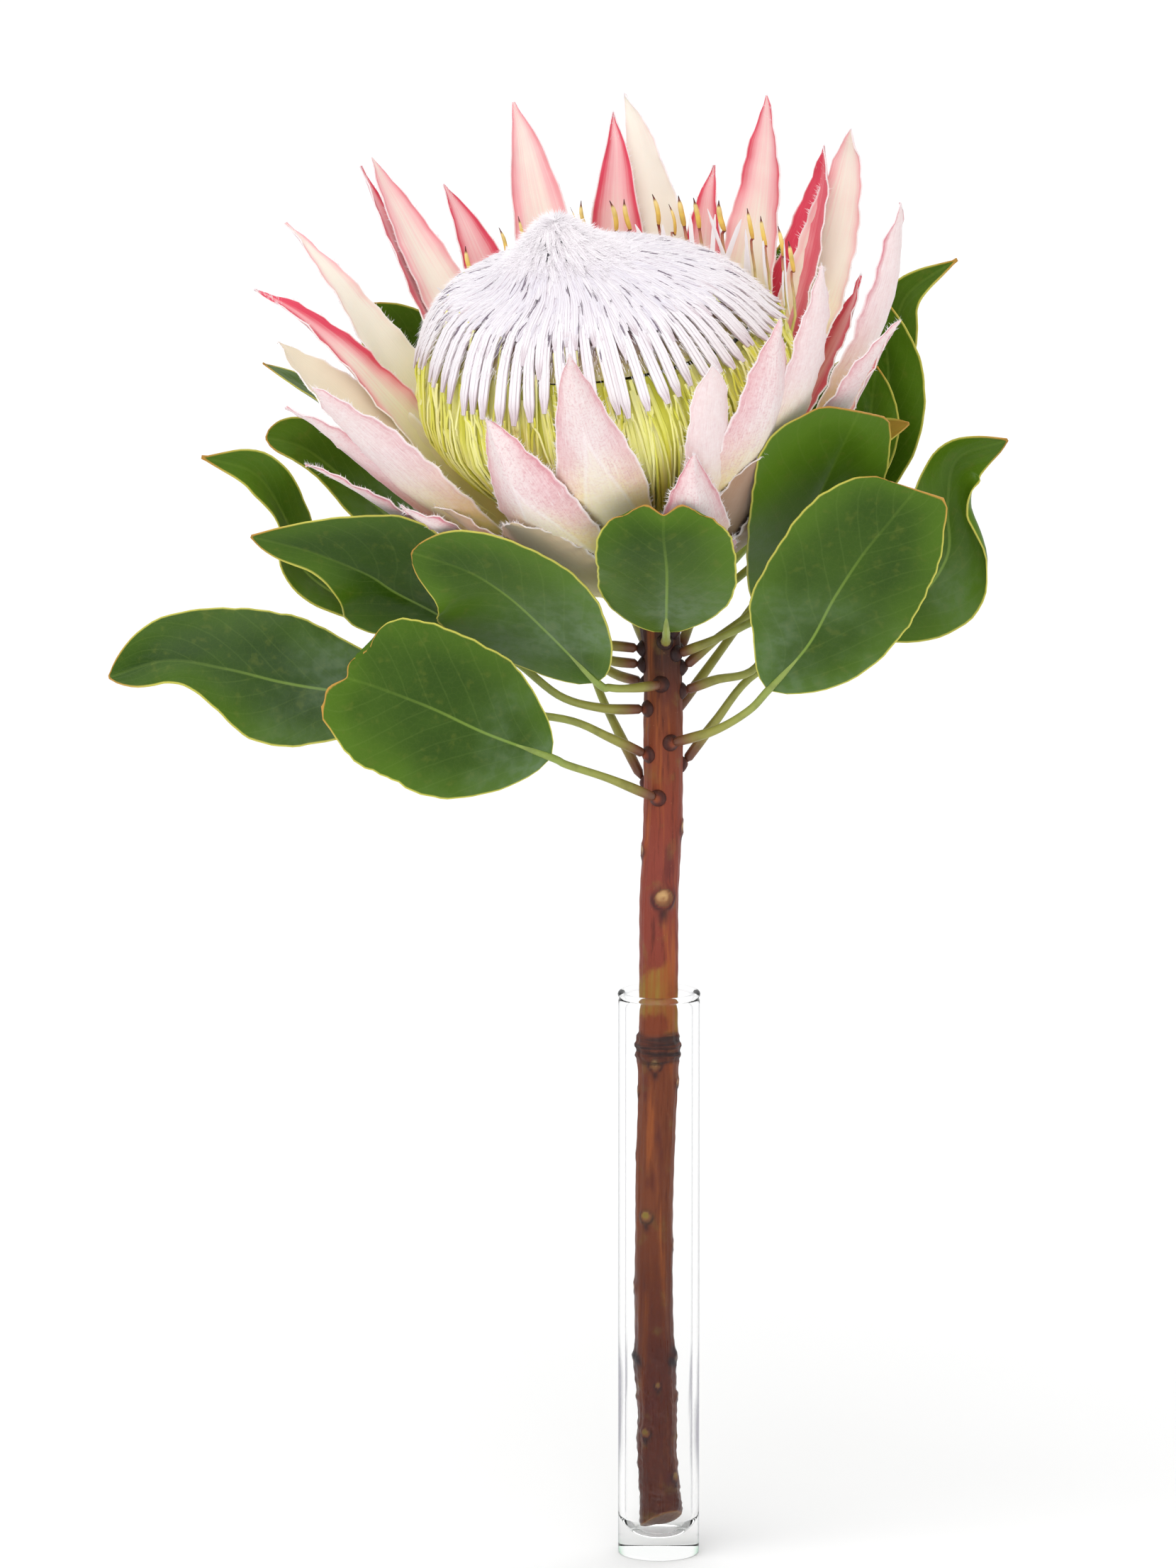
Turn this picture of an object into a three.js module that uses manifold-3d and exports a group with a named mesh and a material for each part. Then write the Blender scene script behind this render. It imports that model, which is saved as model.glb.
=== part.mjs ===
// A protea bloom: a cut woody stem with stalked leaves and one large flower head in a glass tube.
// Millimetres, +Z up. The origin is the centre of the tube's flat base, and -Y faces the viewer.
import * as THREE from "three";
import { mergeVertices } from "three/addons/utils/BufferGeometryUtils.js";
import Module from "manifold-3d";

const wasm = await Module();
wasm.setup();

// Driving dimensions
const SEAT_GAP = 0.3;
const TUBE = { radius: 12.5, bore: 10.4, height: 177, floor: 6.6, lipHeight: 2.9, lipSwell: 0.45, sides: 28 };
const STEM_SIDES = 10;
const COLLAR = { radius: 3.1, sunk: 0.2 };
const SCAR = { depth: 0.5, width: 0.95, sunk: 0.225 };
const STALK_RADIUS = 1.75;
const LEAF_EDGE = 0.36;
const HEAD = { place: [-1.1, 11, 298.1], leanLeft: 12, leanFront: 14.2 };
const BRACT_HALF_THICKNESS = 0.42;
const FLORETS = { flutes: 24, fluteDepth: 1.2 };
const FRINGE = { strips: 28, drop: 0.086, groove: 1.1, insideFrom: 0.17 };
const OPEN_STYLE = { radius: 0.65, budRadius: 0.95, tipRadius: 0.4, count: 14, from: 38, span: 104 };

const COLOURS = {
  glass: { color: 0xeaf3f1, roughness: 0.03, metalness: 0, transparent: true, opacity: 0.3 },
  bark: { color: 0x7a3428, roughness: 0.6, metalness: 0 },
  bract: { color: 0xeeb9b6, roughness: 0.7, metalness: 0 },
  style: { color: 0xb9bd3c, roughness: 0.6, metalness: 0 },
  wool: { color: 0xf1edf2, roughness: 0.95, metalness: 0 },
  leaf: { color: 0x2f6a1f, roughness: 0.4, metalness: 0 },
};

const radians = THREE.MathUtils.degToRad;
const mix = THREE.MathUtils.lerp;
const clamp = THREE.MathUtils.clamp;
const vector = (point) => new THREE.Vector3(...point);

// Closed surfaces

// A solid of rings between two poles. ring(i, turn) gives a point, with turn in 0..1, anticlockwise
// seen from the last pole.
function ringSolid(rings, sides, firstPole, lastPole, ring) {
  const points = [firstPole];
  for (let i = 0; i < rings; i++) for (let j = 0; j < sides; j++) points.push(ring(i, j / sides));
  points.push(lastPole);
  const at = (i, j) => 1 + i * sides + (j % sides);
  const last = points.length - 1;
  const faces = [];
  for (let j = 0; j < sides; j++) {
    faces.push(0, at(0, j + 1), at(0, j));
    for (let i = 0; i < rings - 1; i++) {
      faces.push(at(i, j), at(i, j + 1), at(i + 1, j + 1));
      faces.push(at(i, j), at(i + 1, j + 1), at(i + 1, j));
    }
    faces.push(at(rings - 1, j), at(rings - 1, j + 1), last);
  }
  return surface(points, faces);
}

// A thin blade. place(row, column, side) gives a point; side is 1 on the upper face, -1 on the lower.
// Both faces are split along the same diagonals.
function bladeSolid(rows, columns, place) {
  const points = [];
  for (const side of [1, -1]) {
    for (let i = 0; i <= rows; i++) for (let j = 0; j <= columns; j++) points.push(place(i, j, side));
  }
  const half = (rows + 1) * (columns + 1);
  const up = (i, j) => i * (columns + 1) + j;
  const down = (i, j) => half + up(i, j);
  const faces = [];
  const quad = (a, b, c, d) => faces.push(a, b, c, a, c, d);
  for (let i = 0; i < rows; i++) {
    for (let j = 0; j < columns; j++) {
      const [a, b, c, d] = [[i, j], [i, j + 1], [i + 1, j + 1], [i + 1, j]];
      quad(up(...a), up(...b), up(...c), up(...d));
      faces.push(down(...a), down(...c), down(...b), down(...a), down(...d), down(...c));
    }
    quad(up(i, columns), down(i, columns), down(i + 1, columns), up(i + 1, columns));
    quad(down(i, 0), up(i, 0), up(i + 1, 0), down(i + 1, 0));
  }
  for (let j = 0; j < columns; j++) {
    quad(down(0, j), down(0, j + 1), up(0, j + 1), up(0, j));
    quad(up(rows, j), up(rows, j + 1), down(rows, j + 1), down(rows, j));
  }
  return surface(points, faces);
}

function surface(points, faces) {
  const geometry = new THREE.BufferGeometry();
  geometry.setFromPoints(points);
  geometry.setIndex(faces);
  return geometry;
}

function toSolid(geometry) {
  const bare = geometry.clone();
  bare.deleteAttribute("normal");
  bare.deleteAttribute("uv");
  const merged = mergeVertices(bare, 1e-4);
  return new wasm.Manifold(new wasm.Mesh({
    numProp: 3,
    vertProperties: new Float32Array(merged.attributes.position.array),
    triVerts: new Uint32Array(merged.index.array),
  }));
}

// Joins grown-together pieces, takes the given room out of them and keeps the largest body.
function fuse(geometries, rooms = []) {
  let solid = geometries.map(toSolid).reduce((whole, piece) => whole.add(piece));
  for (const room of rooms) solid = solid.subtract(toSolid(room));
  const bodies = solid.decompose();
  const largest = bodies.reduce((best, body) => (body.volume() > best.volume() ? body : best));
  const mesh = largest.getMesh();
  const geometry = new THREE.BufferGeometry();
  geometry.setAttribute("position", new THREE.BufferAttribute(new Float32Array(mesh.vertProperties), 3));
  geometry.setIndex([...mesh.triVerts]);
  return geometry;
}

function named(name, geometry, finish) {
  geometry.computeVertexNormals();
  const material = new THREE.MeshStandardMaterial({ ...COLOURS[finish], flatShading: true });
  const mesh = new THREE.Mesh(geometry, material);
  mesh.name = name;
  return mesh;
}

// A round thread that tapers from one radius to the next along a list of points.
function thread(points, radii, sides) {
  const curve = new THREE.CatmullRomCurve3(points);
  const frames = points.map((point, i) => {
    const along = curve.getTangent(i / (points.length - 1));
    const across = new THREE.Vector3(0, 1, 0).cross(along).normalize();
    return { point, across, over: along.clone().cross(across).normalize() };
  });
  const last = points.length - 1;
  return ringSolid(points.length, sides, points[0], points[last], (i, turn) => {
    const { point, across, over } = frames[i];
    const angle = turn * 2 * Math.PI;
    return point.clone().addScaledVector(across, radii[i] * Math.cos(angle))
      .addScaledVector(over, radii[i] * Math.sin(angle));
  });
}

// Glass tube: straight wall, thick rounded floor and a rolled lip
function glassTube() {
  const { radius, bore, height, floor, lipHeight, lipSwell } = TUBE;
  const corner = 2.2;
  const profile = [
    [0, 0], [radius - 0.4, 0], [radius - 0.1, 0.15], [radius, 0.5],
    [radius, height - lipHeight], [radius + lipSwell, height - lipHeight * 0.7],
    [radius + lipSwell, height - lipHeight * 0.3], [radius - 0.1, height],
    [bore + 0.1, height], [bore - 0.1, height - lipHeight * 0.3], [bore, height - lipHeight],
    [bore, floor + corner], [bore - 0.65, floor + 0.65], [bore - corner, floor], [0, floor],
  ];
  return new THREE.LatheGeometry(profile.map(([r, z]) => new THREE.Vector2(r, z)), TUBE.sides)
    .rotateX(Math.PI / 2);
}

// Stem: centre line and radius by height, from the cut foot to the flower head
const STEM = [
  // x, y, z, radius
  [0.6, -3.3, 6.3, 6.3],
  [0.6, -3.2, 12, 6.35],
  [0.2, -2.8, 21, 6.15],
  [-0.6, -2.3, 34, 6.0],
  [-0.4, -1.8, 45, 6.0],
  [-1.0, -1.2, 57, 6.25],
  [-1.3, -0.7, 68, 6.0],
  [-1.5, -0.2, 80, 5.85],
  [-1.5, 0.9, 104, 5.75],
  [-1.4, 1.4, 116, 5.85],
  [-1.0, 2.0, 130, 5.9],
  [-0.4, 2.7, 145, 6.05],
  [-0.3, 3.1, 153, 6.35],
  [-0.3, 3.2, 156.5, 6.95],
  [-0.3, 3.3, 160.5, 6.9],
  [-0.2, 3.5, 163.5, 6.2],
  [-0.1, 3.7, 169, 5.9],
  [-0.1, 3.95, 177, 5.9],
  [0, 4.6, 190, 5.9],
  [0, 5.2, 205, 5.9],
  [0.8, 5.8, 221, 5.85],
  [1.2, 6.6, 238, 5.95],
  [1.2, 7.6, 255, 6.0],
  [1.2, 8.7, 271, 5.8],
  [0.6, 9.6, 284, 5.9],
  [-0.3, 10.4, 292, 6.4],
];
const STEM_TOP_RADIUS = 7;
// The oblique cut of the foot rises to the right and to the front over this length
const CUT = { right: 0.34, front: 0.16, length: 16 };
// Old leaf scars: height, direction in degrees (270 is the front), size
const SCARS = [
  [204, 270, 3.1], [226, 350, 2.2], [219, 205, 2.0], [154, 262, 2.4], [106, 240, 2.6],
  [130, 20, 1.6], [84, 175, 1.8], [118, 345, 1.8], [57, 180, 2.0], [58, 0, 2.0],
  [49, 285, 1.7], [34, 230, 2.2], [21, 310, 1.8], [190, 90, 2.4], [140, 100, 2.2], [72, 80, 2.2],
];

function stemAt(height) {
  const above = STEM.findIndex((row) => row[2] >= height);
  const upper = above < 0 ? STEM.length - 1 : Math.max(above, 1);
  const [low, high] = [STEM[upper - 1], STEM[upper]];
  const share = clamp((height - low[2]) / (high[2] - low[2]), 0, 1);
  const [x, y, , radius] = low.map((value, i) => mix(value, high[i], share));
  return { centre: new THREE.Vector3(x, y, height), radius };
}

function stemGeometry() {
  const cutRise = (dx, dy, height) => {
    const fade = clamp(1 - (height - STEM[0][2]) / CUT.length, 0, 1);
    return (CUT.right * (dx + STEM[0][3]) - CUT.front * (dy - STEM[0][3])) * fade;
  };
  const top = headPoint(0, 0, 0);
  const foot = new THREE.Vector3(STEM[0][0], STEM[0][1], STEM[0][2] + cutRise(0, 0, STEM[0][2]));
  return ringSolid(STEM.length + 1, STEM_SIDES, foot, top, (i, turn) => {
    const angle = turn * 2 * Math.PI;
    if (i === STEM.length) return headPoint(STEM_TOP_RADIUS, turn * 360, 0);
    const [x, y, z, radius] = STEM[i];
    const [dx, dy] = [radius * Math.cos(angle), radius * Math.sin(angle)];
    return new THREE.Vector3(x + dx, y + dy, z + cutRise(dx, dy, z));
  });
}

function scarGeometry([height, direction, size]) {
  const { centre, radius } = stemAt(height);
  const angle = radians(direction);
  const out = new THREE.Vector3(Math.cos(angle), Math.sin(angle), 0);
  return new THREE.SphereGeometry(size, 5, 3)
    .scale(SCAR.depth, SCAR.width, 1)
    .rotateZ(angle)
    .translate(...centre.addScaledVector(out, radius - size * SCAR.sunk).toArray());
}

// Where a leaf stalk grows out: the collar on the stem and the stalk's first point, just clear of it
function collarOf(leaf) {
  const start = vector(leaf.stalk[0]);
  const { centre, radius } = stemAt(start.z);
  const out = start.clone().sub(centre).setZ(0).normalize();
  const seat = centre.clone().addScaledVector(out, radius - COLLAR.sunk);
  return { out, seat, start: seat.clone().addScaledVector(out, COLLAR.radius + SEAT_GAP) };
}

function collarGeometry(leaf) {
  const { out, seat } = collarOf(leaf);
  return new THREE.SphereGeometry(COLLAR.radius, 6, 3)
    .rotateX(Math.PI / 2)
    .rotateZ(Math.atan2(out.y, out.x))
    .translate(...seat.toArray());
}

// Flower head: a frame that leans left and to the front, with r, turn in degrees and h along its axis
const AXIS = new THREE.Vector3(
  -Math.tan(radians(HEAD.leanLeft)), -Math.tan(radians(HEAD.leanFront)), 1).normalize();
const ACROSS = new THREE.Vector3(1, 0, 0).addScaledVector(AXIS, -AXIS.x).normalize();
const BACK = AXIS.clone().cross(ACROSS);

function headPoint(r, turn, h) {
  const angle = radians(turn);
  return vector(HEAD.place).addScaledVector(ACROSS, r * Math.cos(angle))
    .addScaledVector(BACK, r * Math.sin(angle)).addScaledVector(AXIS, h);
}

// Cup that carries the bracts and florets
const CUP = [
  [8, 0.5], [12, 2.2], [16, 5.2], [19.6, 9.5], [21.6, 14.5], [22, 20], [20.6, 24.6], [17.4, 26],
];

function cupGeometry() {
  return ringSolid(CUP.length, 28, headPoint(0, 0, SEAT_GAP), headPoint(0, 0, CUP.at(-1)[1]),
    (i, turn) => headPoint(CUP[i][0], turn * 360, CUP[i][1]));
}

// Bracts: where each whorl leaves the cup, then one row a bract with these fields.
// turn: direction round the head, 0 right, 90 back, 180 left, 270 front
// reach, rise: tip's distance from the axis and height; leave, arrive: angles from the axis at root and tip
// side: sideways shift of the tip; width; curl of the edges inwards; twist in degrees; flare: outward tip
const BRACT_FIELDS = [
  "turn", "reach", "rise", "leave", "arrive", "side", "width", "curl", "twist", "flare",
];
const WHORLS = { inner: [19.5, 18], middle: [18.8, 13], outer: [16.8, 8.5] };
const BRACTS = {
  inner: [
    [104, 90, 131.5, 50, 12, -6, 19, 0.3, -10, 0],
    [72, 84, 130, 48, 8, 8, 20, 0.25, -10, 0],
    [128, 98, 128, 52, 22, 3, 19, 0.3, 0, 0],
    [153, 95, 127, 66, 24, 0, 19, 0.4, -25, 6],
    [168, 97, 118, 64, 40, 0, 18, 0.45, -20, 6],
    [207, 95, 108, 68, 34, 2, 21, 0.4, 40, 0],
    [266, 75, 118, 50, 10, 2, 25, 0.3, 0, 0],
    [315, 78, 106, 56, 12, 4, 23, 0.3, 0, 0],
    [325, 85, 116, 54, 8, 9, 18, 0.35, -15, 0],
    [345, 102, 124, 58, 8, 4, 18, 0.45, -30, 0],
    [33, 97, 121, 54, 6, -8, 17, 0.35, 0, 0],
    [51, 88, 129, 48, 8, -8, 20, 0.3, 0, 0],
  ],
  middle: [
    [90, 80, 125.5, 50, 14, -14, 19, 0.3, 10, 0],
    [118, 80, 118, 52, 20, 4, 20, 0.3, 0, 0],
    [135, 100, 126, 54, 25, -6, 18, 0.4, 30, 0],
    [200, 98, 99, 68, 40, -2, 17, 0.4, 35, 0],
    [250, 70, 96, 56, 12, -8, 26, 0.3, 0, 0],
    [295, 70, 98, 56, 10, 9, 17, 0.3, 0, 0],
    [335, 98, 91, 62, 40, 8, 16, 0.35, -35, 0],
    [30, 88, 75, 66, 30, -8, 18, 0.25, 0, 0],
    [40, 90, 115.5, 50, 10, -13, 19, 0.45, 0, 0],
    [68, 78, 107.5, 54, 12, -11, 18, 0.25, 0, 0],
  ],
  outer: [
    [199, 97, 78, 80, 52, 0, 16, 0.3, 20, 0],
    [221, 85, 69, 70, 50, 0, 16, 0.3, 25, 0],
    [290, 66, 72, 66, 10, 3, 23, 0.25, 0, 0],
    [60, 88, 84, 66, 24, 0, 21, 0.25, 0, 0],
    [86, 84, 90, 62, 20, 0, 22, 0.25, 0, 0],
    [111, 86, 82, 66, 24, 3, 21, 0.25, 0, 0],
    [143, 92, 84, 68, 30, 0, 20, 0.25, 0, 0],
    [174, 92, 72, 74, 42, 0, 18, 0.25, 10, 0],
    [5, 88, 70, 72, 36, 0, 18, 0.25, 0, 0],
  ],
};
// Small scales in a ring where the cup meets the stem: turn of the first, root, tip, width
const SCALES = { count: 9, turn: 12, root: [13.5, 5], tip: [34, 27], width: 14 };

const SCALE_LEAVE = 62;
const SCALE_ARRIVE = 24;
const SCALE_CURL = 0.2;
// Rows and columns of faces in a bract of each whorl and in a scale
const BRACT_GRID = { inner: [6, 4], middle: [6, 4], outer: [4, 2] };
const SCALE_GRID = [2, 2];
const BRACT_WIDEST = 0.52;
const BRACT_ROOT = 0.36;
// How far the ends of the middle line run straight, as a share of its length
const BRACT_PULL = { root: 0.38, tip: 0.34, side: 0.25 };
const FLARE_DROP = 0.45;

// Half the width at a share of the length, as a share of the widest
function bractWidth(t) {
  if (t < BRACT_WIDEST) return mix(BRACT_ROOT, 1, Math.sin((t / BRACT_WIDEST) * Math.PI / 2) ** 1.1);
  const u = (t - BRACT_WIDEST) / (1 - BRACT_WIDEST);
  return (1 - u ** 1.7) * (1 - 0.1 * Math.sin(u * Math.PI));
}

// Middle line of a bract in its own plane: x is the distance from the axis, y sideways, z along the axis
function bractLine(root, { reach, rise, leave, arrive, side }) {
  const tip = new THREE.Vector3(reach, side, rise);
  const start = new THREE.Vector3(root[0], 0, root[1]);
  const length = start.distanceTo(new THREE.Vector3(reach, 0, rise));
  const heading = (angle) => new THREE.Vector3(Math.sin(radians(angle)), 0, Math.cos(radians(angle)));
  const first = start.clone().addScaledVector(heading(leave), BRACT_PULL.root * length);
  const second = tip.clone().addScaledVector(heading(arrive), -BRACT_PULL.tip * length);
  second.y = side * BRACT_PULL.side;
  return new THREE.CubicBezierCurve3(start, first, second, tip);
}

function bractGeometry(root, row, [rows, columns]) {
  const bract = Object.fromEntries(BRACT_FIELDS.map((field, i) => [field, row[i]]));
  const { turn, width, curl, twist, flare } = bract;
  const line = bractLine(root, bract);
  const angle = radians(turn);
  const [sine, cosine] = [Math.sin(angle), Math.cos(angle)];
  const outward = ACROSS.clone().multiplyScalar(cosine).addScaledVector(BACK, sine);
  const sideways = ACROSS.clone().multiplyScalar(-sine).addScaledVector(BACK, cosine);
  const toHead = (p) => vector(HEAD.place).addScaledVector(outward, p.x)
    .addScaledVector(sideways, p.y).addScaledVector(AXIS, p.z);
  return bladeSolid(rows, columns, (i, j, face) => {
    const t = i / rows;
    const v = (2 * j) / columns - 1;
    const middle = line.getPoint(t);
    const along = line.getTangent(t);
    middle.x += flare * t ** 7;
    middle.z -= FLARE_DROP * flare * t ** 7;
    const forward = toHead(along).sub(vector(HEAD.place)).normalize();
    const inward = forward.clone().cross(sideways).normalize();
    if (inward.dot(outward) > 0) inward.negate();
    const edgeways = inward.clone().cross(forward).normalize();
    if (edgeways.dot(sideways) < 0) edgeways.negate();
    const half = Math.max(width / 2 * bractWidth(t), 0.45);
    const turned = radians(twist * t ** 0.8);
    const across = half * v;
    const bend = curl * t ** 0.7;
    return toHead(middle)
      .addScaledVector(edgeways, across * Math.cos(turned))
      .addScaledVector(inward, across * Math.sin(turned) + bend * half * v * v)
      .addScaledVector(outward, (-across * across / (2 * middle.x)) * (1 - curl))
      .addScaledVector(inward, -face * BRACT_HALF_THICKNESS);
  });
}

function scaleGeometries({ count, turn, root, tip, width }) {
  return Array.from({ length: count }, (_, i) => {
    const way = turn + (360 / count) * i;
    const row = [way, ...tip, SCALE_LEAVE, SCALE_ARRIVE, 0, width, SCALE_CURL, 0, 0];
    return bractGeometry(root, row, SCALE_GRID);
  });
}

// Florets: green styles bulge out of the cup, and their white woolly tips close over them as a dome.
// Both profiles run from bottom to top as distance from the axis and height.
const STYLES = [
  [17, 26.3], [24, 32], [33.5, 40], [41.5, 48], [48, 56], [54.6, 67], [56.3, 75], [52.9, 89.3],
];
const STYLES_INSIDE = [[50.6, 88], [53.3, 74.5], [46.8, 56.9], [20, 29.6]];
const WOOL = [
  [5, 130.4], [11, 128.2], [18, 124.6], [26, 120.4], [35, 115], [43.5, 107.6], [50.5, 99], [55.6, 90.5],
  [58.4, 81],
];
const WOOL_INSIDE = [[56.4, 80.8], [54.9, 86.4], [51, 93.6], [38.5, 108.3], [12, 125.4]];
const APEX = 131.6;

// A point a share of the way along a profile
function onProfile(profile, share) {
  const x = clamp(share, 0, 1) * (profile.length - 1);
  const i = Math.min(Math.floor(x), profile.length - 2);
  const [low, high] = [profile[i], profile[i + 1]];
  return [mix(low[0], high[0], x - i), mix(low[1], high[1], x - i)];
}

function stylesGeometry() {
  const sides = FLORETS.flutes * 2;
  const outside = STYLES.length;
  const profile = [...STYLES, ...STYLES_INSIDE];
  const [foot, top] = [STYLES[0], STYLES_INSIDE.at(-1)].map(([, h]) => headPoint(0, 0, h));
  return ringSolid(profile.length, sides, foot, top, (i, turn) => {
    const [r, h] = profile[i];
    const grooved = i > 0 && i < outside - 1 ? FLORETS.fluteDepth * clamp(r / 40, 0.4, 1) : 0;
    const groove = Math.round(turn * sides) % 2 === 0 ? 0 : grooved;
    return headPoint(r - groove, turn * 360, h);
  });
}

// Styles that have opened and stand up behind the dome: in turn, the sideways lean in degrees and
// the height of the tip
const STYLE_LEANS = [0.5, -1.2, 1.6, -0.4, 0.9];
const STYLE_TOPS = [121, 116, 124, 118, 113];

function openStyle(index) {
  const { radius, budRadius, tipRadius, count, from, span } = OPEN_STYLE;
  const turn = from + (span / (count - 1)) * index;
  const lean = STYLE_LEANS[index % STYLE_LEANS.length];
  const top = STYLE_TOPS[index % STYLE_TOPS.length];
  const route = [[50.5, 64], [59.6, 77], [61.8, 97], [63, top - 1.5], [63.2, top]];
  const points = route.map(([r, h], i) => headPoint(r, turn + lean * (i / 2), h));
  return thread(points, [radius, radius, budRadius, budRadius, tipRadius], 5);
}

function woolGeometry() {
  const sides = FRINGE.strips * 2;
  const outside = WOOL.length;
  const profile = [...WOOL, ...WOOL_INSIDE];
  const bottom = headPoint(0, 0, WOOL_INSIDE.at(-1)[1] + 1);
  return ringSolid(profile.length, sides, headPoint(0, 0, APEX), bottom, (i, turn) => {
    const inGap = Math.round(turn * sides) % 2 === 1;
    const reach = 1 - (inGap ? FRINGE.drop : 0);
    let r;
    let h;
    if (i < outside) {
      [r, h] = onProfile(WOOL, (i / (outside - 1)) * reach);
      if (inGap) r -= FRINGE.groove * clamp(r / 40, 0, 1);
    } else {
      const share = (i - outside) / (WOOL_INSIDE.length - 1);
      [r, h] = onProfile(WOOL_INSIDE, inGap ? mix(FRINGE.insideFrom, 1, share) : share);
    }
    return headPoint(r, -turn * 360, h);
  });
}

// Room that the florets take, which no bract may enter
const ROOM = [
  [17.8, 26.05], [24.8, 31.4], [34.4, 39.4], [42.4, 47.4], [48.9, 55.6], [55.5, 66.6], [59, 75],
  [59.2, 84], [56.4, 91.5], [51.3, 100],
];
const ROOM_TOP = 104;

function floretRoom() {
  return ringSolid(ROOM.length, 36, headPoint(0, 0, ROOM[0][1]), headPoint(0, 0, ROOM_TOP),
    (i, turn) => headPoint(ROOM[i][0], turn * 360, ROOM[i][1]));
}

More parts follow.
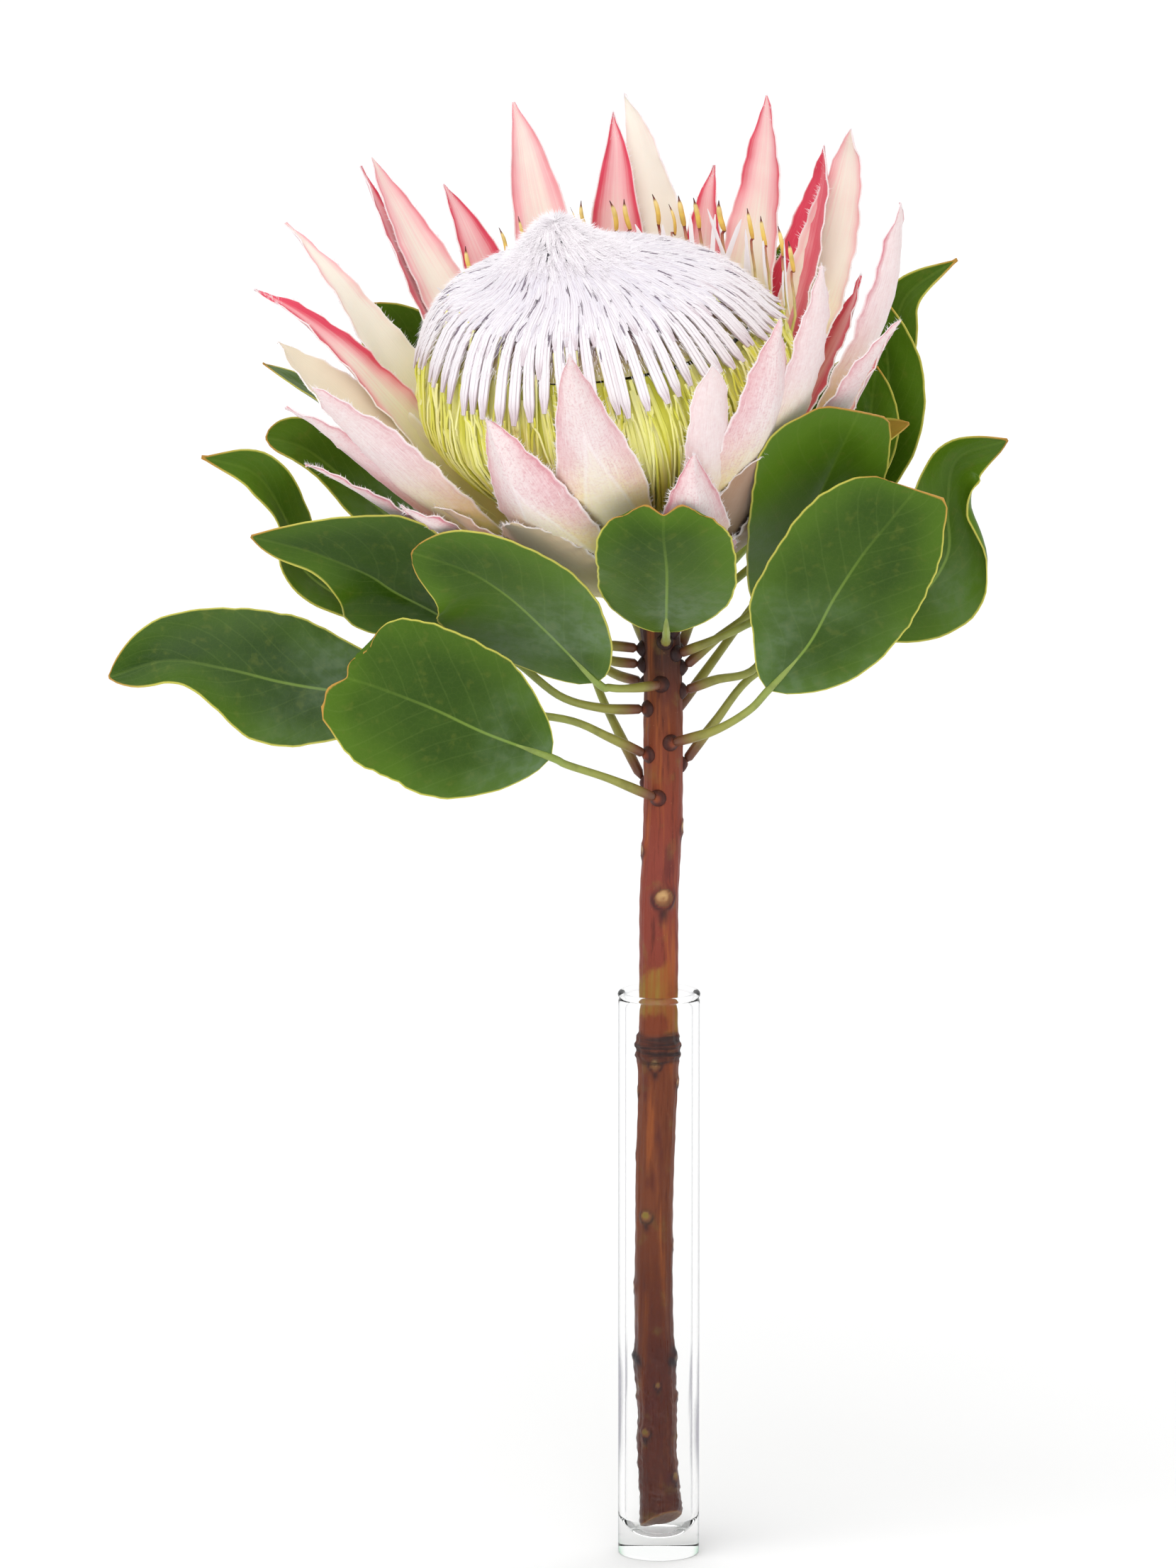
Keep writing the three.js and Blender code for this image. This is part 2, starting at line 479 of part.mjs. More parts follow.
// Leaves: stalk and midrib as points, the way the blade faces at its foot and tip, half its width,
// where along it is widest, the roundness of its tip, how its edges curl and wave, and the lobes
// beside its tip
const LEAVES = {
  leaf_front_low_left: {
    stalk: [[-1, -1, 237], [-15, -9, 245], [-28, -17, 251]],
    rib: [[-33, -20, 254], [-52, -29, 263], [-69, -34, 272], [-84, -34, 278], [-95, -31, 281]],
    face: [-0.2, -0.95, 0.05],
    half: 25.5, widest: 0.42, tip: [3.4, 0.5], cup: 0.05, wave: [2, 1.5, 0.5], lobe: 6,
  },
  leaf_far_left: {
    stalk: [[-5, 2, 250], [-15, 0, 256], [-28, -2, 262], [-50, -3, 265]],
    rib: [
      [-63, -3, 267], [-96, -4, 271], [-115, -4, 274], [-132, -3, 278], [-150, 0, 280], [-168, 4, 274],
    ],
    face: [0.05, -0.9, 0.42], half: 21, widest: 0.45, tip: [1.9, 0.75], cup: 0.1, wave: [2, 1.2, 0],
  },
  leaf_front_upper_left: {
    stalk: [[0, -1, 272], [-9, -8, 273], [-15, -12, 274]],
    rib: [[-19, -14, 276], [-34, -27, 294], [-48, -38, 309], [-59, -43, 316.5], [-75, -43, 322]],
    face: [-0.3, -0.85, -0.4],
    half: 24, widest: 0.38, tip: [2.2, 0.65], cup: 0.05, wave: [1.5, 1.2, 0.3],
  },
  leaf_left: {
    stalk: [[-5, 4, 264], [-17, 1, 265], [-30, -1, 269], [-42, -3, 279]],
    rib: [
      [-49, -4, 284], [-69, -9, 297], [-81, -12, 304], [-90, -14, 310], [-106, -16, 317], [-124, -18, 322],
    ],
    face: [-0.25, -0.82, -0.35],
    half: 18, widest: 0.45, tip: [1.8, 0.8], cup: 0.15, wave: [1.5, 1.2, 0],
  },
  leaf_left_folded: {
    stalk: [[-6, 9, 282], [-19, 9, 283], [-45, 8, 282], [-65, 7, 282]],
    rib: [[-74, 6, 286], [-96, 4, 301], [-108, 2, 316], [-114, 0, 331], [-124, -4, 342], [-139, -10, 345]],
    face: [0.75, -0.5, 0.4], tipFace: [0, -0.95, -0.1],
    half: 12, widest: 0.5, tip: [1.7, 0.9], cup: 0.1, wave: [1.5, 1.5, 0],
  },
  leaf_left_upper: {
    stalk: [[-6, 9, 277], [-19, 12, 279], [-41, 18, 290], [-56, 22, 299]],
    rib: [[-65, 25, 305], [-83, 26, 320], [-98, 26, 333], [-109, 22, 342], [-120, 16, 346]],
    face: [-0.2, -0.75, 0.6], half: 12, widest: 0.45, tip: [2.4, 0.6], cup: 0.1, wave: [1, 1.5, 0],
  },
  leaf_back_left_low: {
    stalk: [[-6, 11, 271], [-17, 20, 274], [-37, 30, 290], [-59, 37, 315]],
    rib: [[-67, 38, 324], [-85, 38, 338], [-98, 36, 350], [-111, 32, 360], [-121, 28, 367]],
    face: [-0.3, -0.8, 0.5], half: 12, widest: 0.45, tip: [1.8, 0.8], cup: 0.1, wave: [1, 1.5, 0],
  },
  leaf_back_left_high: {
    stalk: [[-5, 10, 240], [-13, 20, 255], [-19, 28, 267], [-26, 42, 288], [-35, 52, 310]],
    rib: [[-39, 56, 320], [-52, 60, 333], [-67, 61, 350], [-80, 58, 367], [-92, 52, 380]],
    face: [-0.1, -0.8, 0.55], half: 17, widest: 0.45, tip: [2, 0.7], cup: 0.1, wave: [1, 1.5, 0],
  },
  leaf_front_middle: {
    stalk: [[2, 3, 285], [2, -6, 288]],
    rib: [[2, -16, 292], [2, -33, 304], [2, -49, 317.5], [1, -59, 329], [1, -62, 337]],
    face: [0, -0.75, -0.65], tipFace: [0, -0.98, 0.1],
    half: 21, widest: 0.45, tip: [4.5, 0.42], cup: 0.05, wave: [0.8, 1, 0], lobe: 7,
  },
  leaf_right_upper: {
    stalk: [[5, 6, 281], [15, 4, 285], [25, 2, 290]],
    rib: [[31, 0, 295], [40, -14, 314], [47, -28, 334], [53, -37, 349], [60, -42, 365]],
    face: [0.25, -0.8, -0.5],
    half: 20.5, widest: 0.55, tip: [2.6, 0.6], cup: 0.05, wave: [1.5, 1.3, 0.3],
  },
  leaf_front_right: {
    stalk: [[4, 1, 254], [17, -8, 260], [27, -13, 267]],
    rib: [[33, -16, 274], [45, -26, 290], [53, -36, 307], [61, -43, 321], [69, -47, 332], [77, -47, 342]],
    face: [0.15, -0.95, -0.15],
    half: 24.5, widest: 0.38, tip: [2.6, 0.55], cup: 0.05, wave: [0.8, 1, 0],
  },
  leaf_far_right_waved: {
    stalk: [[7, 9, 246], [17, 14, 258], [29, 18, 272], [48, 15, 281]],
    rib: [[62, 10, 286], [78, 12, 296], [88, 14, 310], [88, 16, 326], [91, 14, 340], [106, 8, 347]],
    face: [0.1, -0.98, 0.1], tipFace: [0.1, -0.9, -0.3],
    half: 16, widest: 0.5, tip: [1.8, 0.8], cup: 0.05, wave: [6, 1.5, 0.2],
  },
  leaf_right_high: {
    stalk: [[5, 15, 260], [17, 23, 276], [37, 32, 302], [54, 38, 322]],
    rib: [[62, 41, 337], [70, 43, 354], [74, 43, 369], [78, 41, 383], [91, 35, 394]],
    face: [-0.6, -0.7, 0.2], tipFace: [-0.4, -0.8, 0.3],
    half: 9, widest: 0.45, tip: [1.6, 0.9], cup: 0.1, wave: [1, 1.2, 0],
  },
  leaf_right_long: {
    stalk: [[7, 8, 269], [17, 10, 272], [29, 12, 275], [37, 20, 288]],
    rib: [[42, 24, 304], [57, 28, 324], [67, 30, 343], [70, 30, 361], [69, 28, 376], [67, 24, 389]],
    face: [-0.3, -0.9, 0.2], half: 13, widest: 0.45, tip: [1.8, 0.8], cup: 0.1, wave: [1, 1.2, 0],
  },
  leaf_right_inner: {
    stalk: [[7, 9, 276], [17, 12, 284], [30, 14, 294], [38, 16, 306]],
    rib: [[44, 18, 314], [56, 20, 331], [63, 20, 345], [65, 20, 358], [66, 18, 368]],
    face: [-0.1, -0.95, 0.2], half: 10, widest: 0.45, tip: [1.8, 0.8], cup: 0.1, wave: [1, 1.2, 0],
  },
  leaf_right_small: {
    stalk: [[6, 4, 288], [15, 5, 297], [28, 6, 308]],
    rib: [[39, 7, 317], [53, 11, 331], [64, 12, 344], [76, 8, 352]],
    face: [-0.2, -0.6, 0.75], half: 9, widest: 0.45, tip: [1.8, 0.8], cup: 0.1, wave: [1, 1.2, 0],
  },
  leaf_back_right: {
    stalk: [[7, 13, 281], [10, 22, 288], [17, 34, 297], [27, 44, 307]],
    rib: [[34, 50, 313], [48, 57, 331], [57, 59, 348], [66, 57, 365]],
    face: [0, -0.9, 0.4], half: 17, widest: 0.45, tip: [1.8, 0.8], cup: 0.1, wave: [1, 1.2, 0],
  },
  leaf_back_slim: {
    stalk: [[2, 16, 286], [9, 30, 292], [15, 48, 304], [21, 66, 319]],
    rib: [[23, 74, 328], [30, 82, 356], [35, 84, 377], [39, 82, 396]],
    face: [0, -0.9, 0.4], half: 8, widest: 0.45, tip: [1.8, 0.8], cup: 0.1, wave: [1, 1.2, 0],
  },
  leaf_back: {
    stalk: [[-4, 16, 280], [-8, 34, 287], [-15, 56, 299]],
    rib: [[-17, 66, 305], [-22, 80, 325], [-25, 88, 346], [-27, 88, 366]],
    face: [0, -0.6, 0.8], tipFace: [0, -0.8, 0.5],
    half: 20, widest: 0.45, tip: [2.2, 0.7], cup: 0.1, wave: [1, 1.2, 0],
  },
};
const LEAF_COLUMNS = 4;
// How far the midrib stands out of each face at the foot of the blade, as a share of the stalk's radius
const RIDGE = { over: 0.3, under: 0.8 };
// How far the wave of the left margin runs ahead of the right one, in waves
const WAVE_LEAD = 0.35;
const BLADE_ROWS = 7;

function leafWidth(t, { widest, tip }) {
  if (t < widest) return Math.sin((t / widest) * Math.PI / 2) ** 0.75;
  const u = (t - widest) / (1 - widest);
  return (1 - u ** tip[0]) ** tip[1];
}

function leafGeometry(leaf) {
  const collar = collarOf(leaf);
  const stalk = [collar.start, ...leaf.stalk.slice(1).map(vector)];
  const rib = new THREE.CatmullRomCurve3(leaf.rib.map(vector), false, "catmullrom", 0.5);
  const whole = new THREE.CatmullRomCurve3([...stalk, ...leaf.rib.map(vector)], false, "catmullrom", 0.5);
  const stalkEnd = stalk.length / (stalk.length + leaf.rib.length - 1);
  const stalkRows = stalk.length;
  const rows = stalkRows + BLADE_ROWS;
  const footFace = vector(leaf.face).normalize();
  const tipFace = vector(leaf.tipFace ?? leaf.face).normalize();
  const [waveHeight, waveCount, wavePhase] = leaf.wave;
  return bladeSolid(rows, LEAF_COLUMNS, (i, j, side) => {
    const v = (2 * j) / LEAF_COLUMNS - 1;
    const onStalk = i < stalkRows;
    const t = onStalk ? 0 : (i - stalkRows) / BLADE_ROWS;
    const share = (i / stalkRows) * stalkEnd;
    const [path, place] = onStalk ? [whole, share] : [rib, t];
    const middle = path.getPoint(place);
    const along = i === 0 ? collar.out.clone() : path.getTangent(place);
    const facing = footFace.clone().lerp(tipFace, t).normalize();
    const across = along.clone().cross(facing).normalize();
    const normal = across.clone().cross(along).normalize();
    const sine = Math.sin((v * Math.PI) / 2);
    const cosine = Math.cos((v * Math.PI) / 2);
    if (onStalk || i === stalkRows) {
      return middle.addScaledVector(across, STALK_RADIUS * sine)
        .addScaledVector(normal, side * Math.max(STALK_RADIUS * cosine, 0.3));
    }
    const half = Math.max(leaf.half * leafWidth(t, leaf), 0.5);
    const wave = waveHeight * Math.sin(Math.PI * t) * v * v
      * Math.sin(2 * Math.PI * (waveCount * t + wavePhase + (v < 0 ? WAVE_LEAD : 0)));
    const raised = j === LEAF_COLUMNS / 2 ? (side < 0 ? RIDGE.under : RIDGE.over) : 0;
    const ridge = STALK_RADIUS * (1 - t) ** 1.5 * raised;
    return middle.addScaledVector(across, half * v)
      .addScaledVector(normal, leaf.cup * half * v * v + wave + side * (LEAF_EDGE + ridge))
      .addScaledVector(along, (leaf.lobe ?? 0) * Math.sin(Math.PI * Math.abs(v)) * t ** 5);
  });
}

// Assembly
const flower = new THREE.Group();
const leaves = Object.entries(LEAVES);
flower.add(named("glass_tube", glassTube(), "glass"));
const collars = leaves.map(([, leaf]) => collarGeometry(leaf));
const bark = fuse([stemGeometry(), ...SCARS.map(scarGeometry), ...collars]);
flower.add(named("stem", bark, "bark"));
const blades = Object.entries(BRACTS).flatMap(
  ([whorl, rows]) => rows.map((row) => bractGeometry(WHORLS[whorl], row, BRACT_GRID[whorl])));
const bracts = fuse([cupGeometry(), ...blades, ...scaleGeometries(SCALES)], [floretRoom()]);
flower.add(named("bracts", bracts, "bract"));
const openStyles = Array.from({ length: OPEN_STYLE.count }, (_, i) => openStyle(i));
flower.add(named("florets_green", fuse([stylesGeometry(), ...openStyles]), "style"));
flower.add(named("florets_wool", woolGeometry(), "wool"));
for (const [name, leaf] of leaves) flower.add(named(name, leafGeometry(leaf), "leaf"));

export default flower;
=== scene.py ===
"""A cut protea flower standing in a clear glass tube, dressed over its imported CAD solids."""

import logging
import math
from dataclasses import dataclass, field
from enum import Enum
from functools import reduce
from typing import Sequence

import bpy
import numpy as np
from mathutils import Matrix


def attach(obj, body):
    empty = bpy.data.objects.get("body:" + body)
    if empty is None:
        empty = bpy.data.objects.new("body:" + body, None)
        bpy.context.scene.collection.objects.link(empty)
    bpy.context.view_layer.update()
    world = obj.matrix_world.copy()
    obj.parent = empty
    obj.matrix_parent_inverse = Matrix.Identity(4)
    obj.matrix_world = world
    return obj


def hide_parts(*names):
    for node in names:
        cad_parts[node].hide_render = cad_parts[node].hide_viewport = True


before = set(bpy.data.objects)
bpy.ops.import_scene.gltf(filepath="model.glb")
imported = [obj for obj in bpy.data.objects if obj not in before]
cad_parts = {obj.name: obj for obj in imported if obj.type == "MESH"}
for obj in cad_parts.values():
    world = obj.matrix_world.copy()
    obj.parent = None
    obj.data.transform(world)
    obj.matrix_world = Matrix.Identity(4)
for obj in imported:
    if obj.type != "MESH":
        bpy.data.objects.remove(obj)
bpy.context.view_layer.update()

LOG = logging.getLogger("protea")
MM = 0.001
TURN = 2 * np.pi
Array = np.ndarray
Piece = bpy.types.Object
Socket = bpy.types.NodeSocket
Material = bpy.types.Material
Triple = tuple[float, float, float]
Ends = list[tuple[float, float]]


# Numbers and curves


def unit(vectors: Array) -> Array:
    """Scales vectors to length one."""
    return vectors / np.maximum(np.linalg.norm(vectors, axis=-1, keepdims=True), 1e-12)


def rising(x: Array, low: float, high: float) -> Array:
    """Goes smoothly from 0 at low to 1 at high."""
    t = np.clip((np.asarray(x, float) - low) / (high - low), 0, 1)
    return t * t * (3 - 2 * t)


def mix(a: Array, b: Array, share: Array) -> Array:
    """Goes from a to b as share goes from 0 to 1."""
    return a + (b - a) * share


def hump(x: Array, middle: float, reach: float) -> Array:
    """A bell that is 1 at its middle and falls off over its reach."""
    return np.exp(-((x - middle) / reach) ** 2)


def radians(degrees: Array) -> Array:
    """Turns degrees into radians."""
    return np.asarray(degrees, float) * (math.pi / 180)


def curve(points: Sequence[Sequence[float]], at: Array) -> tuple[Array, Array]:
    """A smooth curve through points at even steps of its parameter.

    Args:
        points: what the curve passes through.
        at: shares of the way from the first point to the last.

    Returns:
        The places and the unit directions of travel there.
    """
    p = np.asarray(points, float)
    p = np.vstack([2 * p[0] - p[1], p, 2 * p[-1] - p[-2]])
    x = np.clip(np.asarray(at, float), 0, 1) * (len(p) - 3)
    i = np.minimum(x.astype(int), len(p) - 4)
    w = (x - i)[:, None]
    a, b = p[i + 1], p[i + 2]
    start, end = (b - p[i]) / 2, (p[i + 3] - a) / 2
    c2 = 3 * (b - a) - 2 * start - end
    c3 = 2 * (a - b) + start + end
    return a + w * (start + w * (c2 + w * c3)), unit(start + w * (2 * c2 + 3 * w * c3))


def ripple(x: Array, seed: float, waves: Sequence[float]) -> Array:
    """A gentle uneven wave between about -1 and 1.

    Args:
        x: where along the wave.
        seed: shifts the phases, so that copies differ.
        waves: how many waves of each size fit in a length of one.

    Returns:
        The wave's height at each place.
    """
    parts = [np.sin(TURN * (k * x + seed * (0.37 + 0.61 * n))) for n, k in enumerate(waves)]
    return sum(parts) / len(waves)


# Mesh helpers


class Side(Enum):
    """The faces of a thickened sheet, in the order of its materials."""

    OUTER = "outer"
    INNER = "inner"
    RIM = "rim"


def clear_selection() -> None:
    """Leaves object mode with nothing selected."""
    if bpy.context.object and bpy.context.object.mode != "OBJECT":
        bpy.ops.object.mode_set(mode="OBJECT")
    bpy.ops.object.select_all(action="DESELECT")


def pick(obj: Piece) -> None:
    """Makes one object the active one, selected alone.

    Args:
        obj: the object.
    """
    clear_selection()
    obj.select_set(True)
    bpy.context.view_layer.objects.active = obj


def corners(obj: Piece) -> Array:
    """The vertices of an object's mesh.

    Args:
        obj: the object.

    Returns:
        A row of three metres for each vertex.
    """
    flat = np.empty(len(obj.data.vertices) * 3)
    obj.data.vertices.foreach_get("co", flat)
    return flat.reshape(-1, 3)


def place(obj: Piece, points_mm: Array) -> None:
    """Moves each vertex to a point given in millimetres."""
    obj.data.vertices.foreach_set("co", (np.asarray(points_mm, float) * MM).ravel())
    obj.data.update()


def note(obj: Piece, **values: Array) -> None:
    """Stores numbers at each vertex for the material to read.

    Args:
        obj: the object.
        **values: for each name, one number a vertex or one for all.
    """
    for name, numbers in values.items():
        layer = obj.data.attributes.new(name, "FLOAT", "POINT")
        spread = np.broadcast_to(numbers, len(obj.data.vertices))
        layer.data.foreach_set("value", spread.astype(np.float32))


def sheet_of(name: str, columns: int, rows: int) -> tuple[Piece, Array, Array]:
    """Adds a flat grid to be shaped.

    Args:
        name: what the object is called.
        columns: faces across.
        rows: faces along.

    Returns:
        The object, and where each vertex is across and along, from 0 to 1.
    """
    clear_selection()
    bpy.ops.mesh.primitive_grid_add(x_subdivisions=columns, y_subdivisions=rows, size=2)
    obj = bpy.context.object
    obj.name = obj.data.name = name
    co = corners(obj)
    return obj, np.round((co[:, 0] + 1) / 2, 6), np.round((co[:, 1] + 1) / 2, 6)


def close_up(obj: Piece, gap_mm: float = 0.001) -> None:
    """Merges a rolled sheet's seam and poles, fills its open ends and turns its faces outward.

    Args:
        obj: the sheet.
        gap_mm: how near two vertices have to be to merge.
    """
    pick(obj)
    bpy.ops.object.mode_set(mode="EDIT")
    bpy.ops.mesh.select_all(action="SELECT")
    bpy.ops.mesh.remove_doubles(threshold=gap_mm * MM)
    bpy.ops.mesh.fill_holes(sides=0)
    bpy.ops.mesh.select_all(action="SELECT")
    bpy.ops.mesh.normals_make_consistent(inside=False)
    bpy.ops.object.mode_set(mode="OBJECT")


def smooth(obj: Piece, angle: float = 60) -> None:
    """Shades an object smooth, apart from edges sharper than an angle in degrees."""
    pick(obj)
    bpy.ops.object.shade_smooth_by_angle(angle=math.radians(angle), keep_sharp_edges=False)


def join(objects: Sequence[Piece], name: str) -> Piece:
    """Joins objects.

    Args:
        objects: what to join, each already placed.
        name: what the whole is called.

    Returns:
        The first object, which holds the others' meshes.
    """
    pick(objects[0])
    for obj in objects[1:]:
        obj.select_set(True)
    bpy.ops.object.join()
    objects[0].name = objects[0].data.name = name
    return objects[0]


def thicken(obj: Piece, thickness_mm: float, thinnest: float) -> None:
    """Gives a sheet its thickness, with the second and third material on its back and rim.

    Args:
        obj: the sheet, with a vertex group "body" that is 1 where it is thick.
        thickness_mm: its full thickness.
        thinnest: the share of the thickness left where the group is 0.
    """
    pick(obj)
    wall = obj.modifiers.new("wall", "SOLIDIFY")
    wall.thickness = thickness_mm * MM
    wall.offset = 0
    wall.vertex_group = "body"
    wall.thickness_vertex_group = thinnest
    wall.use_even_offset = False
    wall.material_offset = 1
    wall.material_offset_rim = 2
    bpy.ops.object.modifier_apply(modifier=wall.name)


def weigh(obj: Piece, weights: Array, steps: int = 20) -> None:
    """Fills the vertex group "body".

    Args:
        obj: the sheet.
        weights: a weight between 0 and 1 for each vertex.
        steps: how many steps the weights are rounded to.
    """
    group = obj.vertex_groups.new(name="body")
    rounded = np.round(np.clip(weights, 0, 1) * steps).astype(int)
    for step in np.unique(rounded):
        group.add(np.flatnonzero(rounded == step).tolist(), step / steps, "REPLACE")


def dress(obj: Piece, *materials: Material) -> None:
    """Gives an object its materials."""
    for material in materials:
        obj.data.materials.append(material)


def finish_piece(obj: Piece, slot: str, replaced: Sequence[str], *materials: Material) -> None:
    """Dresses a finished piece and ties it to the frame.

    Args:
        obj: the piece.
        slot: the record's material slot; not used.
        replaced: the CAD nodes that it stands for.
        *materials: its materials, where it has none yet.
    """
    dress(obj, *materials)
    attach(obj, "root")
    if replaced:
        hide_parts(*replaced)
    LOG.info("%s: %d faces", obj.name, len(obj.data.polygons))


class Bundle:
    """Many bent copies that become one piece."""

    def __init__(self) -> None:
        """Starts empty."""
        self.points: list[Array] = []
        self.faces: list[list[int]] = []
        self.notes: dict[str, list[Array]] = {}
        self.count = 0

    def add(self, points: Array, faces: Sequence[Sequence[int]], **notes: Array) -> None:
        """Adds one copy.

        Args:
            points: its vertices in millimetres.
            faces: its faces.
            **notes: numbers for the material, one a vertex or one for all.
        """
        self.points.append(points)
        self.faces.extend([[i + self.count for i in face] for face in faces])
        for name, values in notes.items():
            self.notes.setdefault(name, []).append(np.broadcast_to(values, len(points)))
        self.count += len(points)

    def made(self, name: str, angle: float = 60) -> Piece:
        """Turns the copies into an object.

        Args:
            name: what the object is called.
            angle: edges below it, in degrees, are shaded smooth.

        Returns:
            The object.
        """
        mesh = bpy.data.meshes.new(name)
        mesh.from_pydata((np.vstack(self.points) * MM).tolist(), [], self.faces)
        obj = bpy.data.objects.new(name, mesh)
        bpy.context.scene.collection.objects.link(obj)
        note(obj, **{key: np.concatenate(values) for key, values in self.notes.items()})
        smooth(obj, angle)
        return obj


class Rod:
    """A closed round bar along Z, modelled once, that copies are bent from into a bundle."""

    def __init__(self, sides: int, segments: int) -> None:
        """Models the bar.

        Args:
            sides: faces round it.
            segments: faces along it.
        """
        clear_selection()
        bpy.ops.mesh.primitive_circle_add(vertices=sides, radius=1, fill_type="NGON")
        obj = bpy.context.object
        bpy.ops.object.mode_set(mode="EDIT")
        bpy.ops.mesh.select_all(action="SELECT")
        for _ in range(segments):
            bpy.ops.mesh.extrude_region_move(TRANSFORM_OT_translate={"value": (0, 0, 1)})
        bpy.ops.mesh.select_all(action="SELECT")
        bpy.ops.mesh.normals_make_consistent(inside=False)
        bpy.ops.object.mode_set(mode="OBJECT")
        co = corners(obj)
        self.steps = np.linspace(0, 1, segments + 1)
        self.ring = np.round(co[:, 2]).astype(int)
        self.along = self.ring / segments
        self.round = co[:, :2] / np.hypot(co[:, 0], co[:, 1])[:, None]
        self.faces = [list(face.vertices) for face in obj.data.polygons]
        bpy.data.objects.remove(obj, do_unlink=True)
        self.bundle = Bundle()

    def bend(self, middle: Array, side: Array, over: Array, wide: Array, deep: Array,
             **notes: Array) -> None:
        """Adds a copy that is bent along a line.

        Args:
            middle: a point for each ring.
            side: the unit direction of the ring's width.
            over: the unit direction of its depth.
            wide: half its width.
            deep: half its depth.
            **notes: numbers for the material; across and along are noted unless given here.
        """
        wide, deep = np.broadcast_to(wide, len(middle)), np.broadcast_to(deep, len(middle))
        k = self.ring
        points = (middle[k] + side[k] * (self.round[:, 0] * wide[k])[:, None]
                  + over[k] * (self.round[:, 1] * deep[k])[:, None])
        self.bundle.add(points, self.faces, **{"across": self.round[:, 0], "along": self.along, **notes})

    def lay(self, middle: Array, out: Array, wide: Array, deep: Array, **notes: Array) -> None:
        """Adds a copy along a line whose flat side faces out, as near as the line lets it.

        Args:
            middle: a point for each ring.
            out: the direction to face.
            wide: half its width.
            deep: half its depth.
            **notes: numbers for the material.
        """
        way = unit(np.gradient(middle, axis=0))
        side = unit(np.cross(way, out))
        self.bend(middle, side, np.cross(way, side), wide, deep, **notes)


class Hairs:
    """Fine closed hairs, modelled once as a three-sided spike."""

    def __init__(self, seed: int) -> None:
        """Models the spike and seeds the scatter.

        Args:
            seed: the seed of every random draw.
        """
        clear_selection()
        bpy.ops.mesh.primitive_cone_add(vertices=3, radius1=1, radius2=0, depth=1)
        obj = bpy.context.object
        self.spike = corners(obj) + [0, 0, 0.5]
        self.faces = [list(face.vertices) for face in obj.data.polygons]
        bpy.data.objects.remove(obj, do_unlink=True)
        self.random = np.random.default_rng(seed)
        self.bundle = Bundle()

    def grow(self, roots: Array, ways: Array, lengths: Array, radius: float, scatter: float) -> None:
        """Adds a hair at each root.

        Args:
            roots: where they stand, in millimetres.
            ways: the directions that they lean in.
            lengths: how long each is.
            radius: half their thickness at the root.
            scatter: how far the directions stray.
        """
        strayed = unit(ways + scatter * self.random.normal(size=ways.shape))
        side = unit(np.cross(strayed, [0.31, 0.87, 0.39]))
        other = np.cross(strayed, side)
        x, y, z = self.spike.T
        for root, way, a, b, length in zip(roots, strayed, side, other, lengths):
            points = root + np.outer(x * radius, a) + np.outer(y * radius, b) + np.outer(z * length, way)
            self.bundle.add(points, self.faces)


# Materials


def tint(red: float, green: float, blue: float) -> Triple:
    """A colour as a screen shows it, 0 to 255, in the renderer's own scale."""
    parts = [c / 255 for c in (red, green, blue)]
    return tuple(c / 12.92 if c < 0.04045 else ((c + 0.055) / 1.055) ** 2.4 for c in parts)


